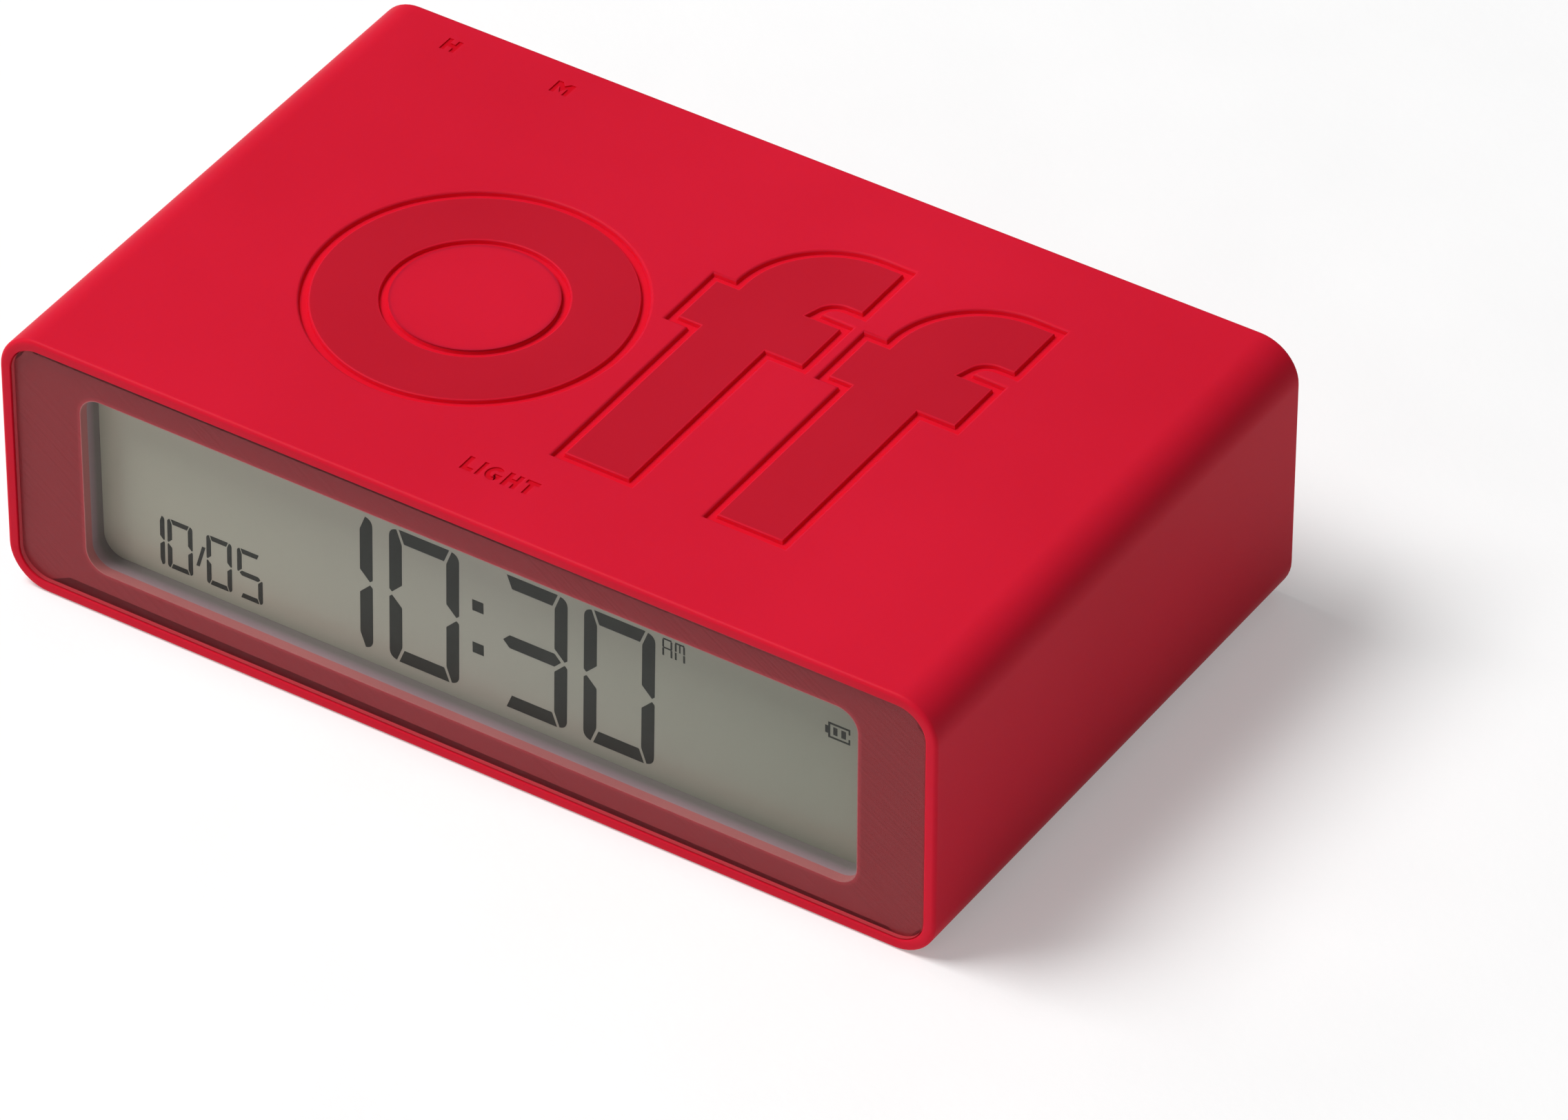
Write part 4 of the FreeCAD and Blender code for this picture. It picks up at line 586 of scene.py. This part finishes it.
def upright(half):
    """The left upright of a digit's upper or lower half, seen from the front."""
    corner = [(0.0, 14.85), (0.07, 15.2), (0.25, 15.5), (0.5, 15.68), (0.82, 15.78)]
    rest = [(1.43, 14.1), (1.43, 9.3), (0.3, 8.12), (0.0, 8.4)]
    points = corner + rest
    return points if half == "upper" else [(x, DIGIT_HEIGHT - y) for x, y in points]


def mirrored(points):
    return [(DIGIT_WIDTH - x, y) for x, y in points]


def bar(low, high, low_inset, high_inset):
    return [(low_inset, low), (DIGIT_WIDTH - low_inset, low), (DIGIT_WIDTH - high_inset, high), (high_inset, high)]


SEGMENTS = {
    "a": bar(14.33, 15.86, 1.68, 1.1),
    "b": mirrored(upright("upper")),
    "c": mirrored(upright("lower")),
    "d": bar(0.0, 1.53, 1.1, 1.68),
    "e": upright("lower"),
    "f": upright("upper"),
    "g": [(0.7, 7.93), (1.42, 7.16), (6.42, 7.16), (7.14, 7.93), (6.42, 8.7), (1.42, 8.7)],
}

film_outlines = []


def place_digit(digit, left, low, width, height):
    """Adds a digit's lit segments, scaled to a cell and leaning a little to the right."""
    for name in SEGMENTS_OF[digit]:
        outline = [(left + x * width / DIGIT_WIDTH, low + z * height / DIGIT_HEIGHT) for x, z in SEGMENTS[name]]
        film_outlines.append([(x + SLANT * (z - 14.2), z) for x, z in outline])


def place_box(left, right, low, high):
    film_outlines.append([(left, low), (right, low), (right, high), (left, high)])


for digit, left in (("1", -20.03), ("0", -10.31), ("3", 1.76), ("0", 11.42)):
    place_digit(digit, left, 6.2, DIGIT_WIDTH, DIGIT_HEIGHT)
for digit, left in (("1", -38.9), ("0", -35.68), ("0", -31.18), ("5", -27.66)):
    place_digit(digit, left, 6.02, 2.9, 5.93)
place_box(-0.95, 0.3, 16.1, 17.4)
place_box(-1.0, 0.25, 11.07, 12.33)
film_outlines.append([(-32.5, 7.63), (-32.12, 7.63), (-31.36, 10.2), (-31.75, 10.2)])

# Day-half mark, strokes of the letters A and M
for left in (20.13, 21.03, 21.5, 22.42):
    place_box(left, left + 0.2, 20.12, 20.98)
    place_box(left, left + 0.2, 21.1, 21.98)
place_box(20.22, 21.15, 22.0, 22.17)
place_box(20.22, 21.15, 20.98, 21.14)
place_box(21.55, 22.55, 22.0, 22.17)
place_box(21.97, 22.13, 21.1, 21.98)

# Battery sign, an open frame with two bars and the pole on its left
place_box(38.2, 40.58, 20.08, 20.3)
place_box(38.2, 40.58, 18.47, 18.68)
place_box(38.2, 38.42, 18.68, 20.08)
place_box(37.87, 38.2, 18.93, 19.8)
place_box(40.4, 40.58, 19.65, 20.08)
place_box(40.4, 40.58, 18.68, 19.1)
place_box(38.75, 39.2, 18.95, 19.85)
place_box(39.62, 40.12, 18.95, 19.85)

film_mesh = bpy.data.meshes.new("display_marks")
film_points = []
film_faces = []
for outline in film_outlines:
    start = len(film_points)
    film_points += [(x * MM, DISPLAY_FACE - FILM / 4, z * MM) for x, z in outline]
    film_faces.append(list(range(start, start + len(outline))))
film_mesh.from_pydata(film_points, [], film_faces)
marks = bpy.data.objects.new("display_marks", film_mesh)
bpy.context.scene.collection.objects.link(marks)
use_modifier(marks, "SOLIDIFY", thickness=FILM, offset=0.0)
bpy.ops.object.mode_set(mode="EDIT")
bpy.ops.mesh.select_all(action="SELECT")
bpy.ops.mesh.normals_make_consistent(inside=False)
bpy.ops.object.mode_set(mode="OBJECT")
segment_dark = new_material("segment_dark", linear(50, 56, 46), 0.5)
tint_by_noise(segment_dark, linear(46, 52, 42), linear(54, 60, 50), 300)
marks.data.materials.append(segment_dark)
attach(marks, "case")


# Materials of the carried pieces
# What the frame brings keeps its shape and takes the finish of the real material.
def dress(material, nodes):
    for node in nodes:
        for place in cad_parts[node].material_slots:
            place.material = material


red_plastic = new_material("red_plastic", linear(200, 30, 44), 0.4)
tint_by_noise(red_plastic, linear(196, 28, 42), linear(204, 32, 46), 30)
grain(red_plastic, 6000, 0.000006)
dress(red_plastic, ["rear_cover", "battery_door"])

# Window edge: painted light. A pale pink line is painted round the window for the light that the wall's cut edge
# scatters, and the red next to it is painted lighter, darkening over half a millimetre to the plain case red.
WINDOW_HALF_WIDTH = 43.2 * MM
WINDOW_HALF_HEIGHT = 10.3 * MM
WINDOW_CORNER = 2.3 * MM
CASE_MIDDLE = 15.0 * MM
PAINTED_EDGE_GLOW = 1.0 * MM


def maths(material, operation, first, second=None):
    """The outcome of a math node of a material, fed by sockets or plain numbers."""
    node = add_node(material, "ShaderNodeMath", operation=operation)
    for socket, value in zip(node.inputs, (first, second)):
        if isinstance(value, (int, float)):
            socket.default_value = value
        elif value is not None:
            link(material, value, socket)
    return node.outputs["Value"]


def axes_of(material):
    """The three axes of the piece's own space, as sockets X, Y and Z."""
    coordinates = add_node(material, "ShaderNodeTexCoord")
    axes = add_node(material, "ShaderNodeSeparateXYZ")
    link(material, coordinates.outputs["Object"], axes.inputs["Vector"])
    return axes.outputs


def ramp_of(material, value, low, high, stops):
    """A colour for each value between two limits, from stops of a share and a colour."""
    spread = add_node(material, "ShaderNodeMapRange", From_Min=low, From_Max=high)
    ramp = add_node(material, "ShaderNodeValToRGB")
    elements = ramp.color_ramp.elements
    while len(elements) < len(stops):
        elements.new(0.5)
    for element, (share, colour) in zip(elements, stops):
        element.position = share
        element.color = colour
    link(material, value, spread.inputs["Value"])
    link(material, spread.outputs["Result"], ramp.inputs["Fac"])
    return ramp.outputs["Color"]


def outside_window(material):
    """How far a point lies outside the window's rounded outline."""
    place = axes_of(material)
    aside = maths(material, "SUBTRACT", maths(material, "ABSOLUTE", place["X"]),
                  WINDOW_HALF_WIDTH - WINDOW_CORNER)
    lift = maths(material, "ABSOLUTE", maths(material, "SUBTRACT", place["Z"], CASE_MIDDLE))
    above = maths(material, "SUBTRACT", lift, WINDOW_HALF_HEIGHT - WINDOW_CORNER)
    aside = maths(material, "MAXIMUM", aside, 0.0)
    above = maths(material, "MAXIMUM", above, 0.0)
    squares = maths(material, "ADD", maths(material, "MULTIPLY", aside, aside),
                    maths(material, "MULTIPLY", above, above))
    return maths(material, "SUBTRACT", maths(material, "SQRT", squares), WINDOW_CORNER)


case_plastic = new_material("case_plastic", linear(200, 30, 44), 0.4)
# The case's colour, with the painted pink line and the painted lighter red round the window.
case_colour_with_painted_edge_glow = ramp_of(case_plastic, outside_window(case_plastic), 0.0, PAINTED_EDGE_GLOW,
                      [(0.0, linear(220, 128, 128)), (0.06, linear(220, 128, 128)),
                       (0.1, linear(206, 50, 62)), (0.3, linear(196, 44, 56)), (0.5, linear(176, 28, 42))])
link(case_plastic, case_colour_with_painted_edge_glow, shader_of(case_plastic).inputs["Base Color"])
grain(case_plastic, 6000, 0.000006)
dress(case_plastic, ["inner_case"])

# Painted light and shade: the display holder's walls are painted a pale, lighter pink at their front edge,
# darkening over 2 mm into the plain grey deeper in.
dark_plastic = new_material("dark_plastic", linear(146, 138, 134), 0.5)
holder_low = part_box("lcd_holder")[0]
holder_colour_with_painted_glow = ramp_of(dark_plastic, axes_of(dark_plastic)["Y"], holder_low[1], holder_low[1] + 2 * MM,
                        [(0.0, linear(196, 166, 174)), (0.35, linear(170, 152, 156)),
                         (0.6, linear(146, 138, 134))])
link(dark_plastic, holder_colour_with_painted_glow, shader_of(dark_plastic).inputs["Base Color"])
grain(dark_plastic, 6000, 0.000006)
dress(dark_plastic, ["lcd_holder"])

# Painted shade: the display glass is painted darker towards its right end, where the sunk display takes more of
# the key light, and its tint turns from warm at the left to greener at the right.
display_glass = new_material("display_glass", linear(222, 221, 202), 0.3)
glass_colour_with_painted_shade = ramp_of(display_glass, axes_of(display_glass)["X"], display_low.x, display_high.x,
                       [(0.0, linear(226, 224, 202)), (0.5, linear(214, 213, 196)),
                        (1.0, linear(188, 192, 172))])
link(display_glass, glass_colour_with_painted_shade, shader_of(display_glass).inputs["Base Color"])
grain(display_glass, 3000, 0.000001)
dress(display_glass, ["lcd_panel"])


# Pieces behind the display
# A clear light guide with white lamps at its ends, and striped rubber connectors, which carry the
# board's signals up to the glass in fine black and grey layers.
def striped(material, axis, pitch, dark, light):
    """Straight stripes across one axis, one dark and one light in each pitch."""
    phase = maths(material, "FRACT", maths(material, "DIVIDE", axes_of(material)[axis], pitch))
    colour = ramp_of(material, phase, 0.0, 1.0, [(0.0, dark), (0.45, dark), (0.5, light), (0.95, light),
                                                 (1.0, dark)])
    link(material, colour, shader_of(material).inputs["Base Color"])


clear_acrylic = new_material("clear_acrylic", linear(226, 234, 234), 0.12)
shader_of(clear_acrylic).inputs["Transmission Weight"].default_value = 0.7
shader_of(clear_acrylic).inputs["IOR"].default_value = 1.49
tint_by_noise(clear_acrylic, linear(222, 231, 231), linear(230, 237, 237), 120)
grain(clear_acrylic, 2500, 0.00001)
dress(clear_acrylic, ["light_guide"])

white_plastic = new_material("white_plastic", linear(230, 228, 222), 0.42)
tint_by_noise(white_plastic, linear(226, 224, 217), linear(233, 231, 226), 150)
grain(white_plastic, 6000, 0.000005)
dress(white_plastic, ["backlight_leds", "light_key", "ffc_sockets"])

grey_rubber = new_material("grey_rubber", linear(120, 120, 122), 0.7)
striped(grey_rubber, "X", 0.4 * MM, linear(38, 38, 40), linear(150, 150, 152))
grain(grey_rubber, 5000, 0.000008)
dress(grey_rubber, ["zebra_strips"])


# Circuit boards and what is soldered on them
# Green boards with traces under the lacquer. On them sit a black chip, a can with its crystal, a
# capacitor, the tilt switch with its ball, the sounder and the key switches.
TRACE_PITCH = 1.8 * MM
green_board = new_material("green_board", linear(24, 92, 52), 0.3)
trace_place = add_node(green_board, "ShaderNodeMapping")
trace_place.inputs["Rotation"].default_value = (math.radians(90), 0, 0)
trace_source = add_node(green_board, "ShaderNodeTexCoord")
traces = add_node(green_board, "ShaderNodeTexBrick", Color1=linear(22, 84, 48), Color2=linear(27, 98, 56),
                  Mortar=linear(58, 132, 78), Scale=1.0)
for socket, value in (("Mortar Size", 0.16 * MM), ("Brick Width", 4 * TRACE_PITCH),
                      ("Row Height", TRACE_PITCH)):
    traces.inputs[socket].default_value = value
link(green_board, trace_source.outputs["Object"], trace_place.inputs["Vector"])
link(green_board, trace_place.outputs["Vector"], traces.inputs["Vector"])
link(green_board, traces.outputs["Color"], shader_of(green_board).inputs["Base Color"])
grain(green_board, 3000, 0.000004)
dress(green_board, ["main_board", "button_board"])

black_resin = new_material("black_resin", linear(27, 27, 29), 0.55)
tint_by_noise(black_resin, linear(24, 24, 26), linear(33, 33, 35), 250)
grain(black_resin, 8000, 0.00001)
dress(black_resin, ["clock_chip", "tilt_switch_base", "buzzer_case", "light_switch", "hour_plunger",
                    "minute_plunger"])


def metal(name, dark, light, roughness, grain_scale):
    """A bare metal with slight clouding and the fine marks of pressing or drawing."""
    finish = new_material(name, light, roughness)
    shader_of(finish).inputs["Metallic"].default_value = 1.0
    tint_by_noise(finish, dark, light, 300)
    grain(finish, grain_scale, 0.000003)
    return finish


nickel = metal("nickel", linear(176, 173, 166), linear(196, 193, 186), 0.28, 4000)
dress(nickel, ["quartz_crystal", "tilt_switch_can", "tilt_ball", "button_switches", "mode_switch",
               "plus_contact", "minus_contact", "bridge_contact"])
can_aluminium = metal("can_aluminium", linear(188, 190, 193), linear(204, 206, 209), 0.36, 3000)
dress(can_aluminium, ["capacitor"])
brass_disc = metal("brass_disc", linear(188, 152, 82), linear(206, 172, 98), 0.3, 5000)
dress(brass_disc, ["piezo_disc"])

white_film = new_material("white_film", linear(232, 234, 238), 0.35)
striped(white_film, "Z", 1.0 * MM, linear(176, 182, 192), linear(236, 238, 241))
grain(white_film, 2000, 0.000004)
dress(white_film, ["ribbon_cable"])


# Hour and minute keys
# Turned-looking round caps of soft dark plastic, slightly dished for a fingertip, that a flange
# holds behind the rear cover.
KEY_FLANGE = 4.1 * MM
KEY_HUB = 1.8 * MM
KEY_RADIUS = 3.3 * MM
KEY_EDGE = 0.45 * MM
KEY_DISH = 0.14 * MM
HUB_LENGTH = 1.35 * MM
FLANGE_THICK = 0.8 * MM
QUARTER_TURN = math.radians(90)


def add_rod(name, radius, start, end, axis, sides=48):
    """A round bar from a start point along an axis, 0 to 2, as a fresh object that is the active one."""
    bpy.ops.object.select_all(action="DESELECT")
    middle = Vector(start)
    middle[axis] = (start[axis] + end) / 2
    turn = {0: (0, QUARTER_TURN, 0), 1: (QUARTER_TURN, 0, 0), 2: (0, 0, 0)}[axis]
    bpy.ops.mesh.primitive_cylinder_add(vertices=sides, radius=radius, depth=abs(end - start[axis]),
                                        location=middle, rotation=turn)
    bpy.ops.object.transform_apply(location=True, rotation=True, scale=True)
    bpy.context.object.name = name
    return bpy.context.object


def end_face(piece, axis, way):
    """In edit mode: selects the flat end that looks along an axis, 1 or -1."""
    pick(piece, "FACE", lambda face: face.normal[axis] * way > 0.999 and face.calc_area() > 1e-7)


def step_to(old_radius, new_radius):
    """In edit mode: narrows or widens the chosen end to a new radius, in its own plane."""
    bpy.ops.mesh.extrude_region_move()
    bpy.ops.transform.resize(value=(new_radius / old_radius,) * 3)


def rubber_key(name, node, body):
    low, high = [Vector(corner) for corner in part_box(node)]
    middle = (low + high) / 2
    cap_start = low.y + HUB_LENGTH + FLANGE_THICK
    key = add_rod(name, KEY_RADIUS, (middle.x, cap_start, middle.z), high.y, 1)
    bpy.ops.object.mode_set(mode="EDIT")
    end_face(key, 1, 1)
    bpy.ops.mesh.region_to_loop()
    bpy.ops.mesh.bevel(offset=KEY_EDGE, segments=6, affect="EDGES")
    end_face(key, 1, 1)
    bpy.ops.mesh.inset(thickness=0.35 * MM, depth=0)
    for share in (0.5, 0.3, 0.2):
        bpy.ops.mesh.inset(thickness=0.55 * MM, depth=-KEY_DISH * share)
    end_face(key, 1, -1)
    step_to(KEY_RADIUS, KEY_FLANGE)
    bpy.ops.mesh.extrude_region_move(TRANSFORM_OT_translate={"value": (0, -FLANGE_THICK, 0)})
    step_to(KEY_FLANGE, KEY_HUB)
    bpy.ops.mesh.extrude_region_move(TRANSFORM_OT_translate={"value": (0, -HUB_LENGTH, 0)})
    bpy.ops.object.mode_set(mode="OBJECT")
    smooth(key, math.radians(35))
    key.data.materials.append(key_plastic)
    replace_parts(key, node)
    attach(key, body)
    return key


key_plastic = new_material("key_plastic", linear(74, 70, 70), 0.55)
tint_by_noise(key_plastic, linear(71, 67, 67), linear(78, 74, 74), 90)
grain(key_plastic, 7000, 0.000008)
rubber_key("hour_key_cap", "hour_button", "hour_key")
rubber_key("minute_key_cap", "minute_button", "minute_key")
dress(key_plastic, ["light_plunger", "mode_slider"])


# Cover screws
# Four steel countersunk screws with a cross recess hold the rear cover to the case's bosses.
SCREW_HEAD = 1.9 * MM
SCREW_SHANK = 0.9 * MM
SCREW_CONE = 1.0 * MM
SCREW_SIDE = 47.5 * MM
SCREW_LIFT = 8.89 * MM
CROSS_WIDTH = 0.5 * MM
CROSS_REACH = 1.15 * MM
CROSS_DEPTH = 0.7 * MM

screw_low, screw_high = [Vector(corner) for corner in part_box("cover_screws")]
screw_middle = (screw_low.z + screw_high.z) / 2
screw_back = screw_high.y
screw = add_rod("cover_screw", SCREW_HEAD, (SCREW_SIDE, screw_back - 0.15 * MM, screw_middle + SCREW_LIFT),
                screw_back, 1, 40)
bpy.ops.object.mode_set(mode="EDIT")
end_face(screw, 1, 1)
bpy.ops.mesh.region_to_loop()
bpy.ops.mesh.bevel(offset=0.08 * MM, segments=2, affect="EDGES")
end_face(screw, 1, -1)
bpy.ops.mesh.extrude_region_move(TRANSFORM_OT_translate={"value": (0, -SCREW_CONE, 0)})
bpy.ops.transform.resize(value=(SCREW_SHANK / SCREW_HEAD,) * 3)
shank_length = screw_back - 0.15 * MM - SCREW_CONE - screw_low.y
bpy.ops.mesh.extrude_region_move(TRANSFORM_OT_translate={"value": (0, -shank_length + 0.5 * MM, 0)})
bpy.ops.mesh.extrude_region_move(TRANSFORM_OT_translate={"value": (0, -0.5 * MM, 0)})
bpy.ops.transform.resize(value=(0.6, 0.6, 0.6))
bpy.ops.object.mode_set(mode="OBJECT")
screw_steel = metal("screw_steel", linear(150, 150, 152), linear(172, 172, 174), 0.3, 5000)
screw.data.materials.append(screw_steel)
for half_width, half_height in ((CROSS_REACH, CROSS_WIDTH / 2), (CROSS_WIDTH / 2, CROSS_REACH)):
    slot_block = add_block("cross_slot",
                           (SCREW_SIDE - half_width, screw_back - CROSS_DEPTH,
                            screw_middle + SCREW_LIFT - half_height),
                           (SCREW_SIDE + half_width, screw_back + MM,
                            screw_middle + SCREW_LIFT + half_height))
    slot_block.data.materials.append(screw_steel)
    use_modifier(screw, "BOOLEAN", solver="MANIFOLD", operation="DIFFERENCE", object=slot_block)
    bpy.data.objects.remove(slot_block)
smooth(screw, math.radians(35))
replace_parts(screw, "cover_screws")
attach(screw, "case")
for aside, down in ((-2 * SCREW_SIDE, 0), (0, -2 * SCREW_LIFT), (-2 * SCREW_SIDE, -2 * SCREW_LIFT)):
    twin = screw.copy()
    twin.data = screw.data.copy()
    twin.data.transform(Matrix.Translation((aside, 0, down)))
    bpy.context.scene.collection.objects.link(twin)
    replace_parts(twin, "cover_screws")
    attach(twin, "case")


# Cells
# Two small round cells laid opposite ways, each with a printed jacket that is shrunk over the can's
# shoulders and leaves the pole and the flat end bare.
CELL_RADIUS = 5.25 * MM
NUB_RADIUS = 1.9 * MM
NUB_LENGTH = 1.0 * MM
JACKET_EDGE = 0.35 * MM
BAND_START = 13.0 * MM

cell_low, cell_high = [Vector(corner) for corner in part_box("lower_cell")]
cell_middle = (cell_low + cell_high) / 2
cell = add_rod("lower_cell_can", CELL_RADIUS, (cell_low.x, cell_middle.y, cell_middle.z),
               cell_high.x - NUB_LENGTH, 0)
bpy.ops.object.mode_set(mode="EDIT")
for way in (-1, 1):
    end_face(cell, 0, way)
    bpy.ops.mesh.region_to_loop()
    bpy.ops.mesh.bevel(offset=JACKET_EDGE, segments=4, affect="EDGES")
    end_face(cell, 0, way)
    bpy.ops.mesh.inset(thickness=0.6 * MM, depth=0)
    bpy.ops.mesh.inset(thickness=0.12 * MM, depth=-0.18 * MM)
end_face(cell, 0, 1)
bpy.ops.mesh.inset(thickness=CELL_RADIUS - JACKET_EDGE - 0.72 * MM - NUB_RADIUS, depth=0)
bpy.ops.mesh.extrude_region_move(TRANSFORM_OT_translate={"value": (NUB_LENGTH + 0.18 * MM, 0, 0)})
bpy.ops.mesh.region_to_loop()
bpy.ops.mesh.bevel(offset=0.25 * MM, segments=3, affect="EDGES")
bpy.ops.mesh.select_all(action="SELECT")
bpy.ops.mesh.bisect(plane_co=(cell_high.x - BAND_START, 0, 0), plane_no=(1, 0, 0))
bpy.ops.object.mode_set(mode="OBJECT")
smooth(cell, math.radians(35))
cell_jacket = new_material("cell_jacket", linear(44, 46, 50), 0.25)
tint_by_noise(cell_jacket, linear(41, 43, 47), linear(48, 50, 54), 120)
grain(cell_jacket, 1500, 0.000004)
jacket_band = new_material("jacket_band", linear(188, 150, 62), 0.28)
tint_by_noise(jacket_band, linear(184, 146, 58), linear(193, 156, 68), 120)
grain(jacket_band, 1500, 0.000004)
for material in (cell_jacket, jacket_band, nickel):
    cell.data.materials.append(material)
for face in cell.data.polygons:
    off_axis = math.hypot(face.center.y - cell_middle.y, face.center.z - cell_middle.z)
    if off_axis < CELL_RADIUS - JACKET_EDGE - 0.5 * MM:
        face.material_index = 2
    elif face.center.x > cell_high.x - BAND_START:
        face.material_index = 1
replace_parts(cell, "lower_cell")
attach(cell, "case")
upper_low, upper_high = [Vector(corner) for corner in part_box("upper_cell")]
upper_middle = (upper_low + upper_high) / 2
upper = cell.copy()
upper.data = cell.data.copy()
upper.name = "upper_cell_can"
upper.data.transform(Matrix.Translation(upper_middle) @ Matrix.Rotation(math.pi, 4, "Y")
                     @ Matrix.Translation(-cell_middle))
bpy.context.scene.collection.objects.link(upper)
del upper["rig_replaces"]
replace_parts(upper, "upper_cell")
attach(upper, "case")


# Door grip
# Three moulded ribs stand in the door's finger recess, so that a nail can pull the door open.
RIB_WIDTH = 0.5 * MM
RIB_RISE = 0.35 * MM
RIB_PITCH = 1.1 * MM
RIB_LENGTH = 6.0 * MM
RECESS_DEPTH = 0.6 * MM

door_low, door_high = [Vector(corner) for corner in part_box("battery_door")]
door_middle = (door_low.z + door_high.z) / 2
recess_floor = door_high.y - RECESS_DEPTH
for index in range(3):
    side = door_low.x + (index + 0.9) * RIB_PITCH
    half_length = RIB_LENGTH / 2 - index * 0.5 * MM
    rib = add_block(f"door_rib_{index + 1}", (side - RIB_WIDTH / 2, recess_floor, door_middle - half_length),
                    (side + RIB_WIDTH / 2, recess_floor + RIB_RISE, door_middle + half_length))
    bpy.ops.object.mode_set(mode="EDIT")
    pick(rib, "FACE", lambda face: face.normal.y > 0.9)
    bpy.ops.mesh.bevel(offset=0.15 * MM, segments=3, affect="EDGES")
    bpy.ops.object.mode_set(mode="OBJECT")
    smooth(rib, math.radians(35))
    rib.data.materials.append(red_plastic)
    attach(rib, "door")
